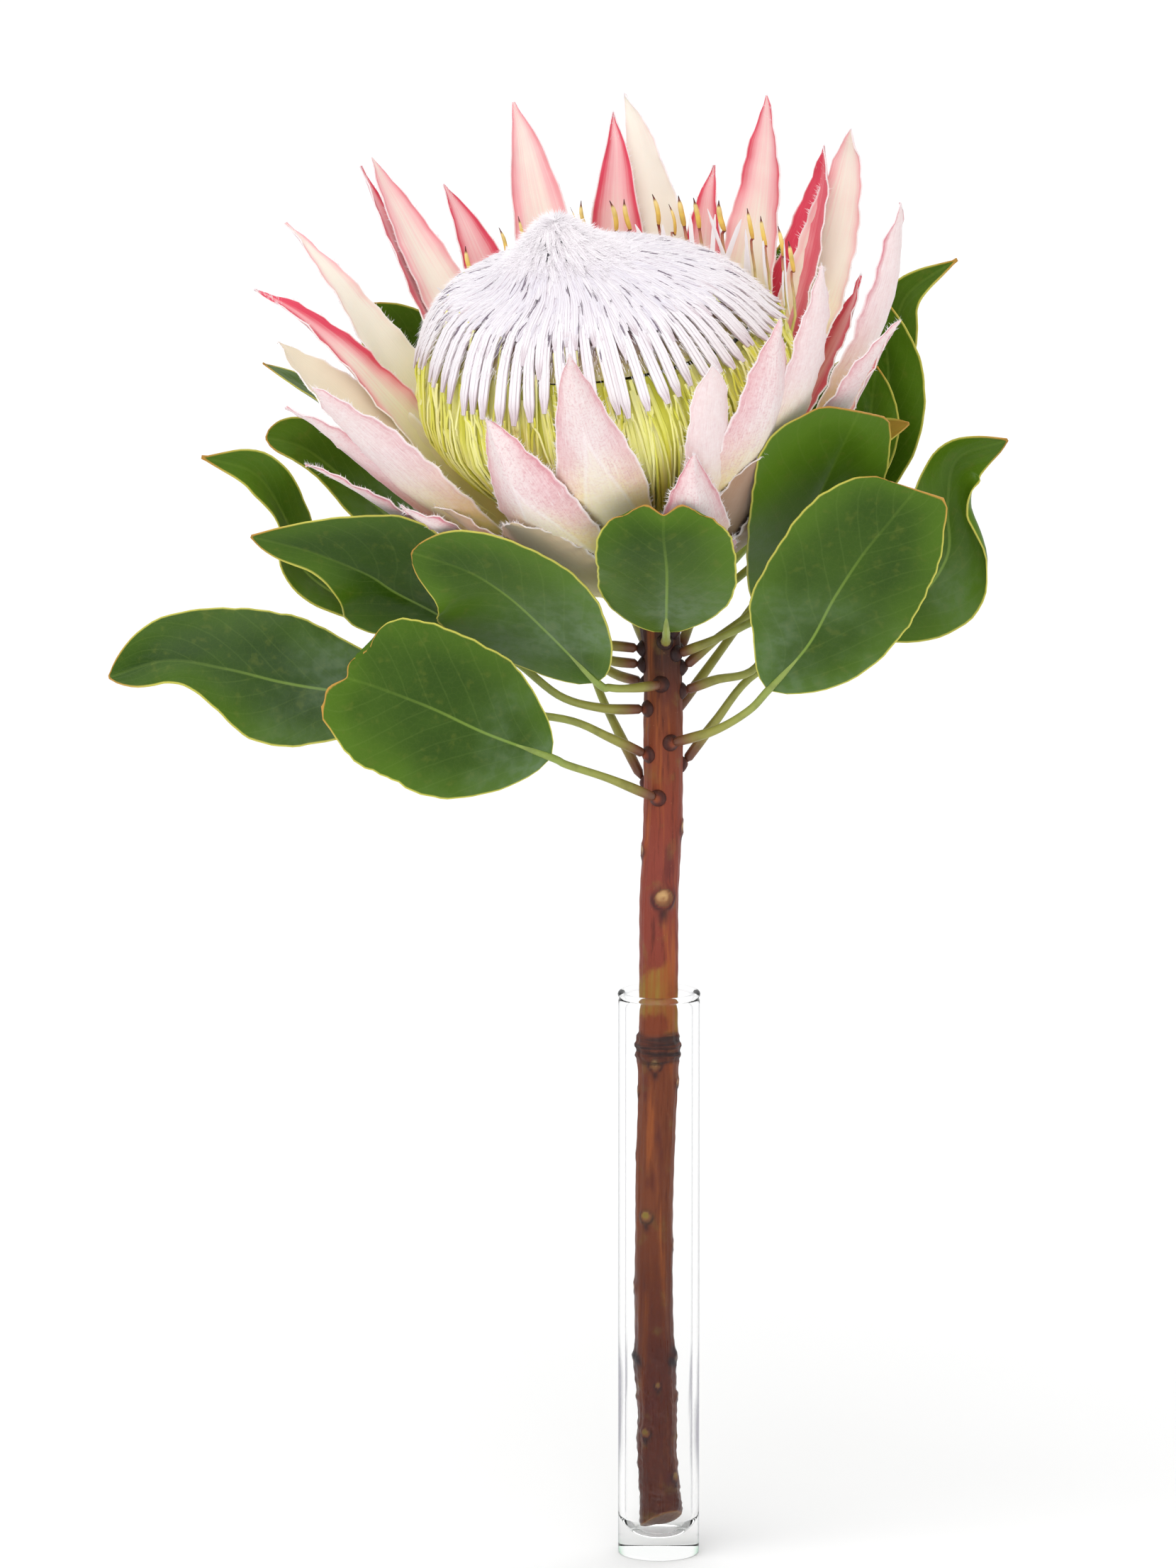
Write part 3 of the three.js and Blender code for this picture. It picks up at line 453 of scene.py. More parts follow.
class Graph:
    """Short calls for building a node tree."""

    def __init__(self, tree: bpy.types.NodeTree) -> None:
        """Takes a tree."""
        self.tree = tree

    def node(self, kind: str, *sources: object, **settings: object) -> bpy.types.Node:
        """Adds a node.

        Args:
            kind: the node's type without the ShaderNode in front.
            *sources: values or sockets for its first inputs; None leaves one alone.
            **settings: the node's own properties.

        Returns:
            The node.
        """
        made = self.tree.nodes.new("ShaderNode" + kind)
        for key, value in settings.items():
            setattr(made, key, value)
        for target, source in zip(made.inputs, sources):
            self.feed(target, source)
        return made

    def feed(self, target: Socket, source: object) -> None:
        """Links a socket to an input, or sets its value.

        Args:
            target: the input.
            source: a socket, a value, or None, which leaves the input alone.
        """
        if isinstance(source, Socket):
            self.tree.links.new(source, target)
        elif isinstance(source, tuple) and target.type == "RGBA":
            target.default_value = (*source, 1)
        elif source is not None:
            target.default_value = source

    def math(self, operation: str, *sources: object, clamp: bool = False) -> Socket:
        """A Math node's result."""
        return self.node("Math", *sources, operation=operation, use_clamp=clamp).outputs[0]

    def plus(self, *terms: object) -> Socket:
        """The sum of two or more numbers."""
        return reduce(lambda a, b: self.math("ADD", a, b), terms)

    def minus(self, first: object, second: object) -> Socket:
        """The first number less the second."""
        return self.math("SUBTRACT", first, second)

    def times(self, *factors: object) -> Socket:
        """The product of two or more numbers."""
        return reduce(lambda a, b: self.math("MULTIPLY", a, b), factors)

    def size(self, value: object) -> Socket:
        """A number without its sign."""
        return self.math("ABSOLUTE", value)

    def attribute(self, name: str) -> Socket:
        """A number stored on the mesh."""
        return self.node("Attribute", attribute_name=name).outputs["Fac"]

    def place(self) -> Socket:
        """Object coordinates."""
        return self.node("TexCoord").outputs["Object"]

    def stretched(self, vector: Socket, scale: Triple) -> Socket:
        """A vector scaled along each axis."""
        return self.node("Mapping", vector, None, None, scale).outputs[0]

    def combined(self, x: object, y: object, z: object) -> Socket:
        """A vector from three numbers."""
        return self.node("CombineXYZ", x, y, z).outputs[0]

    def noise(self, vector: Socket, scale: object, detail: float = 3, roughness: float = 0.55) -> Socket:
        """A noise between 0 and 1.

        Args:
            vector: where to look it up.
            scale: how many blotches fit in a length of one.
            detail: how many finer layers it has.
            roughness: how strong they are.

        Returns:
            The noise.
        """
        made = self.node("TexNoise", vector)
        for name, source in (("Scale", scale), ("Detail", detail), ("Roughness", roughness)):
            self.feed(made.inputs[name], source)
        return made.outputs["Fac"]

    def between(self, value: object, low: float, high: float, start: float = 0, end: float = 1) -> Socket:
        """Maps low..high to start..end, smoothly and clamped."""
        return self.node("MapRange", value, low, high, start, end, interpolation_type="SMOOTHSTEP").outputs[0]

    def blend(self, share: object, first: object, second: object, kind: str = "MIX") -> Socket:
        """Mixes two colours.

        Args:
            share: how much of the second shows, from 0 to 1.
            first: the first colour.
            second: the second colour.
            kind: how they mix.

        Returns:
            The mixed colour.
        """
        made = self.node("Mix", data_type="RGBA", blend_type=kind)
        for socket, source in zip((made.inputs[0], made.inputs[6], made.inputs[7]), (share, first, second)):
            self.feed(socket, source)
        return made.outputs[2]

    def coats(self, colour: object, *layers: tuple[object, object]) -> Socket:
        """Lays colours over a first one.

        Args:
            colour: the first colour.
            *layers: for each coat, the share of it that shows and its colour.

        Returns:
            The colour under all its coats.
        """
        return reduce(lambda under, layer: self.blend(layer[0], under, layer[1]), layers, colour)

    def ramp(self, value: object, stops: Sequence[tuple[float, Triple]]) -> Socket:
        """A colour ramp.

        Args:
            value: the number that it goes by.
            stops: places and colours, from 0 to 1.

        Returns:
            The colour.
        """
        made = self.node("ValToRGB", value)
        elements = made.color_ramp.elements
        elements[0].color = (*stops[0][1], 1)
        elements[1].color = (*stops[-1][1], 1)
        for where, colour in stops[1:-1]:
            elements.new(where).color = (*colour, 1)
        return made.outputs[0]

    def bump(self, height: object, strength: float, distance_mm: float) -> Socket:
        """A normal from a height.

        Args:
            height: the height, from 0 to 1.
            strength: how much of it shows.
            distance_mm: how far apart heights of 0 and 1 are.

        Returns:
            The normal.
        """
        made = self.node("Bump")
        for name, source in (("Strength", strength), ("Distance", distance_mm * MM), ("Height", height)):
            self.feed(made.inputs[name], source)
        return made.outputs[0]


def new_group(name: str, inputs: dict[str, object],
              outputs: Sequence[str]) -> tuple[Graph, list[Socket], list[Socket]]:
    """Starts a shader node group.

    Args:
        name: the group's name.
        inputs: the default of each input, None for a vector.
        outputs: the names of its numbers.

    Returns:
        The graph, its inputs' sockets and its outputs' sockets.
    """
    tree = bpy.data.node_groups.new(name, "ShaderNodeTree")
    for label, default in inputs.items():
        kind = "NodeSocketVector" if default is None else "NodeSocketFloat"
        socket = tree.interface.new_socket(label, in_out="INPUT", socket_type=kind)
        if default is not None:
            socket.default_value = default
    for label in outputs:
        tree.interface.new_socket(label, in_out="OUTPUT", socket_type="NodeSocketFloat")
    into, out = tree.nodes.new("NodeGroupInput"), tree.nodes.new("NodeGroupOutput")
    return Graph(tree), into.outputs[:len(inputs)], out.inputs[:len(outputs)]


def fibres_group() -> bpy.types.NodeTree:
    """Long uneven streaks that run along a piece, as a mask and a height.

    Returns:
        The group.
    """
    inputs = {"Across": 0.0, "Along": 0.0, "Seed": 0.0, "Count": 30.0, "Length": 3.0}
    g, (across, along, seed, count, length), (broad, fine) = new_group("fibres", inputs, ("Broad", "Fine"))
    vector = g.combined(g.times(across, count), g.times(along, length), g.times(seed, 37.0))
    g.feed(broad, g.noise(vector, 0.35))
    g.feed(fine, g.noise(vector, 1.6, 4, 0.65))
    return g.tree


def mottle_group() -> bpy.types.NodeTree:
    """Clouded blotches with fine specks, as two masks.

    Returns:
        The group.
    """
    inputs = {"Place": None, "Scale": 60.0, "Seed": 0.0}
    g, (where, scale, seed), (clouds, specks) = new_group("mottle", inputs, ("Clouds", "Specks"))
    moved = g.node("VectorMath", where, g.combined(seed, seed, 0.0), operation="ADD").outputs[0]
    g.feed(clouds, g.noise(moved, scale, 4, 0.5))
    g.feed(specks, g.noise(moved, g.times(scale, 14.0), 2, 0.5))
    return g.tree


@dataclass(frozen=True)
class Groups:
    """The effects that several materials share."""

    fibres: bpy.types.NodeTree = field(default_factory=fibres_group)
    mottle: bpy.types.NodeTree = field(default_factory=mottle_group)


class Skin(Graph):
    """The graph of one material."""

    def __init__(self, name: str, groups: Groups | None = None) -> None:
        """Starts the material.

        Args:
            name: the material's name.
            groups: the shared effects, where it uses them.
        """
        self.material = bpy.data.materials.new(name)
        self.material.use_nodes = True
        self.groups = groups
        super().__init__(self.material.node_tree)

    def attributes(self, *names: str) -> list[Socket]:
        """Numbers stored on the mesh."""
        return [self.attribute(name) for name in names]

    def effect(self, tree: bpy.types.NodeTree, **values: object) -> list[Socket]:
        """Places a shared effect.

        Args:
            tree: the effect's group.
            **values: values or sockets by the names of its inputs.

        Returns:
            Its outputs.
        """
        made = self.node("Group", node_tree=tree)
        for name, source in values.items():
            self.feed(made.inputs[name], source)
        return made.outputs[:2]

    def mottle(self, scale: float, seed: object = 0.0) -> list[Socket]:
        """Clouds and specks over the piece."""
        return self.effect(self.groups.mottle, Place=self.place(), Scale=scale, Seed=seed)

    def fibres(self, count: float, length: float) -> list[Socket]:
        """Broad and fine streaks along the piece."""
        across, along, seed = self.attributes("across", "along", "seed")
        return self.effect(self.groups.fibres, Across=across, Along=along, Seed=seed, Count=count,
                           Length=length)

    def finished(self, values: dict[str, object]) -> Material:
        """Feeds the shader and ends the material.

        Args:
            values: values or sockets by the names of the shader's inputs.

        Returns:
            The material.
        """
        shader = self.tree.nodes["Principled BSDF"]
        for name, source in values.items():
            self.feed(shader.inputs[name], source)
        return self.material


@dataclass(frozen=True)
class GlassFinish:
    """Clear glass with a green body at its foot, and dark edges and a dark band painted as reflection."""

    clear: Triple = tint(255, 255, 255)
    green: Triple = tint(140, 204, 160)
    # Painted reflection: dark colours for the slanting edges and for a streaky band up the wall
    painted_edge_reflection: Triple = tint(100, 108, 118)
    shade: Triple = tint(62, 58, 84)
    foot_mm: tuple[float, float] = (1.5, 6.0)
    foot_rim_mm: tuple[float, float] = (7.5, 11.0)
    lip_mm: tuple[float, float] = (174.4, 175.0)
    band_mm: tuple[float, float, float, float] = (20.0, 38.0, 56.0, 72.0)
    faint: Triple = (0.06, 0.06, 0.06)
    full: Triple = (1.0, 1.0, 1.0)
    roughness: float = 0.01
    ior: float = 1.22

    def made(self) -> Material:
        """Builds the material."""
        g = Skin("clear_glass")
        x, y, height = g.node("SeparateXYZ", g.place()).outputs
        out = g.math("SQRT", g.plus(g.times(x, x), g.times(y, y)))
        cloud = g.times(g.minus(g.noise(g.place(), 160, 2), 0.5), self.foot_mm[1] * MM)
        foot = g.between(g.plus(height, cloud), *(size * MM for size in self.foot_mm), 1, 0)
        foot = g.times(foot, g.between(out, *(size * MM for size in self.foot_rim_mm), 0.05, 1))
        level = g.size(g.node("SeparateXYZ", g.node("NewGeometry").outputs["Normal"]).outputs[2])
        lip = g.between(height, *(size * MM for size in self.lip_mm))
        upright = g.math("MAXIMUM", g.between(level, 0.3, 0.7, 1, 0), g.times(lip, 0.8))
        facing = g.times(g.node("LayerWeight").outputs["Facing"], upright)
        green = g.times(foot, g.between(facing, 0.4, 0.8, 0.05, 1))
        # Painted reflection: the edges seen at a slant and a streaky band up the wall are darkened, as if
        # dark surroundings showed through the glass
        streak = g.between(g.noise(g.stretched(g.place(), (90, 90, 22)), 1, 2), 0.36, 0.52)
        start, full, fading, end = (size * MM for size in self.band_mm)
        band = g.times(g.between(height, start, full), g.between(height, fading, end, 1, 0), streak)
        dark = g.between(g.plus(facing, g.times(band, 0.2)), 0.62, 0.92, 0, 0.9)
        return g.finished({
            "Base Color": g.coats(self.clear, (green, self.green),
                                  (dark, g.blend(band, self.painted_edge_reflection, self.shade))),
            "Roughness": self.roughness,
            "IOR": self.ior,
            "Transmission Weight": 1,
            "Specular Tint": g.blend(lip, self.faint, self.full),
            "Normal": g.bump(g.noise(g.place(), 25, 1), 0.04, 0.4),
        })


@dataclass(frozen=True)
class BarkFinish:
    """Red-brown bark, darker towards the flower, with pale scars."""

    bands: Sequence[tuple[float, Triple]] = (
        (0.0, tint(92, 58, 34)), (0.03, tint(74, 32, 20)), (0.11, tint(80, 32, 18)),
        (0.22, tint(80, 28, 12)), (0.3, tint(98, 42, 14)), (0.37, tint(116, 58, 30)),
        (0.5, tint(116, 56, 28)), (0.565, tint(124, 54, 24)), (0.63, tint(130, 54, 38)),
        (0.726, tint(134, 58, 44)), (0.777, tint(132, 56, 36)), (0.86, tint(124, 58, 30)),
        (0.93, tint(70, 36, 26)), (1.0, tint(58, 32, 24)),
    )
    scarred: Sequence[tuple[float, Triple]] = (
        (0.0, tint(80, 44, 32)), (0.62, tint(138, 90, 56)), (1.0, tint(206, 166, 112)),
    )
    groove: Triple = tint(58, 24, 20)
    streak: Triple = tint(176, 96, 40)
    stain: Triple = tint(74, 26, 30)
    lichen: Triple = tint(122, 102, 46)
    speck: Triple = tint(186, 128, 96)
    patch: tuple[Triple, Triple] = (tint(146, 126, 44), tint(158, 82, 30))
    fresh: Triple = tint(124, 108, 30)
    # Painted shade round the scars' lower rims and where the collars meet the stem, together with the dark
    # joint and ring
    shade_and_dark_marks: Triple = tint(34, 20, 25)
    # The joint's dark colour, partly its own and partly painted shade in the grooves of its wrinkles
    fold: Triple = tint(40, 26, 26)
    top_mm: float = 300.0
    # The greenish patch just above the glass: its middle and half its height
    patch_mm: tuple[float, float] = (175.0, 11.0)

    def made(self, groups: Groups) -> Material:
        """Builds the material.

        Args:
            groups: the shared effects.

        Returns:
            The material.
        """
        g = Skin("woody_bark", groups)
        where = g.place()
        height = g.math("DIVIDE", g.node("SeparateXYZ", where).outputs[2], self.top_mm * MM)
        grain = g.noise(g.stretched(where, (900, 900, 60)), 1, 5, 0.65)
        streaks = g.noise(g.stretched(where, (260, 260, 14)), 1)
        stains = g.noise(g.stretched(where, (150, 150, 40)), 1)
        wrinkle = g.noise(g.stretched(where, (70, 70, 1300)), 1, 4, 0.6)
        clouds, specks = g.mottle(150.0)
        scar, joint, dark, green = g.attributes("scar", "joint", "dark", "green")
        warm = g.times(g.between(streaks, 0.52, 0.7, 0, 0.6), g.between(height, 0.2, 0.36, 0.25, 1))
        middle, reach = (size / self.top_mm for size in self.patch_mm)
        ragged = g.times(g.minus(g.noise(where, 95), 0.5), 0.16)
        patch = g.between(g.plus(g.size(g.minus(height, middle)), ragged), 0.1 * reach, reach, 0.7, 0)
        shown = g.times(g.between(scar, 0.1, 0.3), g.between(height, 0.19, 0.26, 0.6, 1))
        fresh = g.times(green, g.between(scar, 0.4, 0.9))
        colour = g.coats(
            g.ramp(height, self.bands),
            (g.between(grain, 0.5, 0.75, 0, 0.6), self.groove),
            (warm, self.streak),
            (g.between(stains, 0.56, 0.72, 0, 0.5), self.stain),
            (g.between(clouds, 0.55, 0.75, 0, 0.35), self.lichen),
            (g.between(specks, 0.7, 0.78, 0, 0.55), self.speck),
            (patch, g.blend(g.between(streaks, 0.3, 0.66), *self.patch)),
            (shown, g.blend(fresh, g.ramp(scar, self.scarred), self.fresh)),
            # painted shade and dark marks, as the dark attribute gives them
            (dark, self.shade_and_dark_marks),
            # the joint's own dark, with painted shade in its wrinkles' grooves
            (g.times(joint, g.between(wrinkle, 0.4, 0.62, 0.95, 0.3)), self.fold),
        )
        rough = g.times(g.between(grain, 0.3, 0.7, 0.42, 0.65), g.between(height, 0.2, 0.4, 0.6, 1))
        relief = g.plus(grain, streaks, g.times(joint, wrinkle, 4))
        return g.finished({
            "Base Color": colour,
            "Roughness": rough,
            "Specular IOR Level": 0.3,
            "Normal": g.bump(relief, 0.5, 0.3),
        })


@dataclass(frozen=True)
class BractFinish:
    """A bract's cream foot, pink middle and crimson tip, downy outside."""

    # The yellow foot: partly the bract's own cream-yellow and partly painted warm bounce light from the
    # yellow parts round it
    foot: Triple = tint(248, 234, 136)
    cream: Triple = tint(250, 242, 228)
    pink: Triple = tint(250, 186, 190)
    crimson: Triple = tint(224, 58, 88)
    sheen: Triple = tint(255, 240, 236)
    downy: Triple = tint(242, 224, 223)
    flush: Triple = tint(230, 176, 182)
    blush: Triple = tint(204, 70, 100)
    mauve: Triple = tint(210, 150, 162)
    dot: Triple = tint(206, 120, 136)
    silk: Triple = tint(255, 250, 250)
    vee: Triple = tint(248, 238, 222)
    crease: Triple = tint(255, 250, 248)
    speck: Triple = tint(255, 246, 247)
    margin: Triple = tint(255, 248, 248)
    # Dry bracts, at the left and at the right: their foot and their tip; those at the right are darker,
    # partly their own brown and partly painted shade
    dry_foot_and_shade: tuple[Triple, Triple] = (tint(228, 208, 146), tint(132, 90, 54))
    dry_tip_and_shade: tuple[Triple, Triple] = (tint(206, 184, 128), tint(160, 114, 68))
    east_shade_mm: tuple[float, float] = (-20.0, 30.0)

    def inside(self, g: Skin, along: Socket, fibres: Sequence[Socket]) -> Socket:
        """The colour of the smooth inner face.

        Args:
            g: the material's graph.
            along: the share of the bract's length.
            fibres: its broad and fine streaks.

        Returns:
            The colour.
        """
        broad, fine = fibres
        seed, red = g.attributes("seed", "red")
        clouds, _ = g.mottle(34.0, seed)
        strong = g.plus(red, g.times(g.minus(broad, 0.5), 0.4), g.times(g.minus(clouds, 0.52), 0.7))
        return g.coats(
            # the foot's yellow is partly painted bounce light
            g.blend(g.between(along, 0.3, 0.66), self.foot, self.cream),
            (g.between(strong, 0.04, 0.6), self.pink),
            (g.between(strong, 0.42, 1.05), self.crimson),
            (g.between(fine, 0.5, 0.8, 0, 0.16), self.sheen),
        )

    def outside(self, g: Skin, along: Socket, width: Socket, fibres: Sequence[Socket]) -> Socket:
        """The colour of the downy outer face.

        Args:
            g: the material's graph.
            along: the share of the bract's length.
            width: the share of its half width.
            fibres: its broad and fine streaks.

        Returns:
            The colour.
        """
        broad, fine = fibres
        seed, red, rosy, fold = g.attributes("seed", "red", "rosy", "fold")
        clouds, specks = g.mottle(45.0, seed)
        flush = g.plus(g.times(broad, 0.2), g.between(width, 0.2, 0.95, 0, 0.35), g.times(clouds, 0.8))
        flush = g.times(rosy, g.between(flush, 0.4, 0.85), g.between(along, 0.3, 0.6))
        near_edge = g.between(g.plus(width, g.times(fine, 0.3)), 0.85, 1.12)
        dots = g.between(g.noise(g.place(), 1300, 2), 0.48, 0.68, 0, 0.5)
        reach = g.minus(g.times(g.minus(0.74, along), 1.6), width)
        return g.coats(
            # the foot's yellow is partly painted bounce light
            g.blend(g.between(along, 0.3, 0.84), self.foot, self.cream),
            (g.between(along, 0.42, 0.74), self.downy),
            (flush, self.flush),
            (g.times(red, g.between(along, 0.45, 0.8, 0, 0.75), near_edge), self.blush),
            (g.times(g.between(fine, 0.5, 0.72), g.between(along, 0.25, 0.65, 0.0, 0.5)), self.mauve),
            (g.times(dots, rosy, g.between(along, 0.3, 0.6)), self.dot),
            (g.times(g.between(fine, 0.3, 0.46, 0.5, 0), g.between(along, 0.35, 0.7)), self.silk),
            (g.times(g.between(reach, 0.0, 0.12, 0, 0.5), fold), self.vee),
            (g.times(g.between(g.size(reach), 0.0, 0.09, 0.4, 0), fold), self.crease),
            (g.between(specks, 0.4, 0.75, 0, 0.2), self.speck),
        )

    def made(self, side: Side, groups: Groups) -> Material:
        """Builds the material of one face; the rim is as downy as the outside.

        Args:
            side: which face.
            groups: the shared effects.

        Returns:
            The material.
        """
        g = Skin(f"bract_{side.value}", groups)
        across, along, tan = g.attributes("across", "along", "tan")
        width, fibres = g.size(across), g.fibres(34.0, 9.0)
        inner = side is Side.INNER
        colour = self.inside(g, along, fibres) if inner else self.outside(g, along, width, fibres)
        # Painted shade: bracts towards the right of the head get the darker brown
        east_shade = g.between(g.node("SeparateXYZ", g.place()).outputs[0], *(size * MM for size in self.east_shade_mm))
        dry_and_shade = g.blend(g.between(along, 0.2, 1.0), g.blend(east_shade, *self.dry_foot_and_shade), g.blend(east_shade, *self.dry_tip_and_shade))
        margin = g.times(g.between(width, 0.93, 1.0, 0, 0.8), g.between(along, 0.2, 0.45))
        return g.finished({
            "Base Color": g.coats(colour, (tan, dry_and_shade), (margin, self.margin)),
            "Roughness": 0.6,
            "Subsurface Weight": 0.12,
            "Subsurface Radius": (0.004, 0.0025, 0.002),
            "Sheen Weight": 0.3,
            "Normal": g.bump(g.plus(*fibres), 0.3, 0.18),
        })


@dataclass(frozen=True)
class DownFinish:
    """White silky hair."""

    white: Triple = tint(252, 250, 252)
    cream: Triple = tint(250, 244, 248)

    def made(self) -> Material:
        """Builds the material."""
        g = Skin("down")
        colour = g.blend(g.noise(g.place(), 300, 2), self.white, self.cream)
        return g.finished({"Base Color": colour, "Roughness": 0.7, "Sheen Weight": 0.5})


@dataclass(frozen=True)
class WoolFinish:
    """White woolly strips with fine lavender and brown hairs, whose mauve lines in the grooves and along the
    edges are partly painted shade.
    """

    white: Triple = tint(252, 248, 250)
    shade: Triple = tint(222, 210, 220)
    lavender: Triple = tint(230, 225, 235)
    # Mauve, partly painted shade in the strips' grooves and along their edges
    mauve: Triple = tint(160, 128, 144)
    frayed: Triple = tint(190, 160, 172)
    # Painted shadow: the colour of the dark rods in the slits
    shadow_slit: Triple = tint(98, 76, 100)

    def made(self, groups: Groups) -> Material:
        """Builds the material.

        Args:
            groups: the shared effects.

        Returns:
            The material.
        """
        g = Skin("wool_strips", groups)
        across, along, tone, dash = g.attributes("across", "along", "tone", "dash")
        broad, fine = g.fibres(9.0, 2.2)
        bent = g.plus(across, g.times(g.minus(broad, 0.5), 0.5))
        off = g.size(g.minus(g.size(bent), 0.36))
        # The mauve in each strip's grooves and along its edges is partly the hairs' own mauve and partly
        # painted shade
        split = g.times(g.between(off, 0.0, 0.1, 1, 0), g.between(fine, 0.35, 0.6))
        colour = g.coats(
            g.blend(tone, self.white, self.lavender),
            (g.between(broad, 0.42, 0.75, 0, 0.5), self.shade),
            (g.times(split, 0.7), self.mauve),
            (g.between(g.size(across), 0.7, 1.0, 0, 0.7), self.mauve),
            (g.times(g.between(along, 0.8, 0.97), g.between(fine, 0.4, 0.58, 0.15, 0.7)), self.frayed),
            # painted shadow on the slit rods
            (dash, self.shadow_slit),
        )
        ribs = g.minus(g.plus(fine, broad), split)
        return g.finished({
            "Base Color": colour,
            "Roughness": 0.85,
            "Sheen Weight": 0.4,
            "Normal": g.bump(ribs, 0.5, 0.25),
        })


@dataclass(frozen=True)
class WoolCoreFinish:
    """What shows in the slits between the strips: mauve-brown painted shade, paler towards the top."""

    # Painted shade: darkest mauve-brown low on the dome, pale near the top, greenish at the lower edge
    stops: Sequence[tuple[float, Triple]] = (
        (0.0, tint(246, 244, 250)), (0.25, tint(214, 208, 224)), (0.5, tint(190, 160, 172)),
        (0.8, tint(176, 140, 140)), (1.0, tint(196, 186, 96)),
    )
    speck: Triple = tint(220, 210, 222)

    def made(self) -> Material:
        """Builds the material."""
        g = Skin("wool_core_painted_shade")
        specks = g.between(g.noise(g.place(), 900), 0.4, 0.7, 0, 0.4)
        colour = g.blend(specks, g.ramp(g.attribute("along"), self.stops), self.speck)
        return g.finished({"Base Color": colour, "Roughness": 0.9})


@dataclass(frozen=True)
class ThreadFinish:
    """Lime-yellow styles, some paler and some olive."""

    lime: Triple = tint(224, 222, 84)
    pale: Triple = tint(248, 244, 176)
    olive: Triple = tint(204, 190, 84)
    foot: Triple = tint(214, 200, 70)

    def made(self) -> Material:
        """Builds the material."""
        g = Skin("green_threads")
        along, seed = g.attributes("along", "seed")
        tone = g.noise(g.combined(g.times(seed, 91.0), g.times(along, 1.5), 0.0), 1, 1)
        colour = g.coats(
            g.blend(g.between(tone, 0.35, 0.65), self.lime, self.pale),
            (g.between(tone, 0.62, 0.8, 0, 0.5), self.olive),
            (g.between(along, 0.0, 0.4, 0.4, 0), self.foot),
        )
        return g.finished({
            "Base Color": colour,
            "Roughness": 0.45,
            "Subsurface Weight": 0.3,
            "Subsurface Radius": (0.004, 0.004, 0.001),
            "Normal": g.bump(g.noise(g.place(), 700, 2), 0.2, 0.1),
        })


@dataclass(frozen=True)
class PlainPlantFinish:
    """A plant part whose colour runs through stops along it, with a light mottle."""

    name: str
    stops: Sequence[tuple[float, Triple]]
    roughness: float = 0.5
    mottling: Triple = (0.05, 0.03, 0.01)

    def made(self, groups: Groups) -> Material:
        """Builds the material.

        Args:
            groups: the shared effects.

        Returns:
            The material.
        """
        g = Skin(self.name, groups)
        clouds, specks = g.mottle(220.0)
        colour = g.ramp(g.attribute("along"), self.stops)
        return g.finished({
            "Base Color": g.blend(g.between(clouds, 0.45, 0.8, 0, 0.3), colour, self.mottling, "MULTIPLY"),
            "Roughness": self.roughness,
            "Normal": g.bump(specks, 0.15, 0.12),
        })


@dataclass(frozen=True)
class LeafFinish:
    """Leathery dark green with net veins, a pale midrib and a thin yellow margin."""

    # Painted light and shade: the green in shade and the lit green
    deep: Triple = tint(38, 66, 4)
    lit: Triple = tint(80, 114, 18)
    ripe: Triple = tint(206, 140, 62)
    olive: Triple = tint(96, 108, 34)
    net: Triple = tint(112, 134, 58)
    lateral: Triple = tint(118, 142, 66)
    midrib: Triple = tint(134, 162, 66)
    # Grey-green waxy bloom near the foot, partly painted sheen
    waxy_bloom_and_sheen: Triple = tint(118, 138, 116)
    margin: Triple = tint(196, 192, 86)
    tip: Triple = tint(186, 112, 52)
    net_scale: float = 520.0
    veins: float = 9.0
    vein_slant: float = 3.2

    def made(self, groups: Groups) -> Material:
        """Builds the material.

        Args:
            groups: the shared effects.

        Returns:
            The material.
        """
        g = Skin("leaf_blade", groups)
        across, along, rim, mid = g.attributes("across", "along", "rim", "mid")
        seed, lighter, ripe = g.attributes("seed", "light", "ripe")
        clouds, specks = g.mottle(22.0, seed)
        cells = g.node("TexVoronoi", g.place(), None, self.net_scale, feature="DISTANCE_TO_EDGE")
        net = g.between(cells.outputs["Distance"], 0.0, 0.1, 1, 0)
        slant = g.minus(g.times(along, self.veins), g.times(g.size(across), self.vein_slant))
        waved = g.math("PINGPONG", g.plus(slant, g.times(clouds, 1.2)), 0.5)
        # Painted light: the blade is lit towards its margins, with a cloudy tone and each leaf's own extra
        # light
        light = g.plus(g.between(rim, 0.0, 14.0, 0.45, 0), g.between(clouds, 0.3, 0.7, 0.1, 0.55))
        waxy_bloom_and_sheen = g.times(g.between(along, 0.05, 0.55, 0.55, 0), g.between(clouds, 0.4, 0.62))
        worn = g.plus(g.times(g.between(along, 0.84, 1.0), 0.7), g.between(clouds, 0.55, 0.8, 0, 0.2))
        colour = g.coats(
            g.blend(g.math("ADD", light, lighter, clamp=True), self.deep, self.lit),
            (g.times(ripe, g.between(along, 0.5, 0.95)), self.ripe),
            (g.between(specks, 0.55, 0.75, 0, 0.3), self.olive),
            (g.times(net, 0.05), self.net),
            (g.times(g.between(waved, 0.0, 0.07, 1, 0), 0.1), self.lateral),
            (g.times(g.between(mid, 0.2, 0.7, 1, 0), g.between(along, 0.1, 0.8, 0.8, 0.1)), self.midrib),
            # waxy bloom, partly painted sheen
            (g.times(waxy_bloom_and_sheen, g.between(specks, 0.35, 0.6, 0.5, 1)), self.waxy_bloom_and_sheen),
            (g.between(rim, 0.2, 0.75, 1, 0), g.blend(worn, self.margin, self.tip)),
        )
        return g.finished({
            "Base Color": colour,
            "Roughness": g.between(clouds, 0.3, 0.7, 0.3, 0.42),
            "Specular IOR Level": 0.2,
            "Normal": g.bump(g.plus(g.times(net, 0.35), g.times(specks, 0.5)), 0.25, 0.12),
        })


# The flower head's own frame


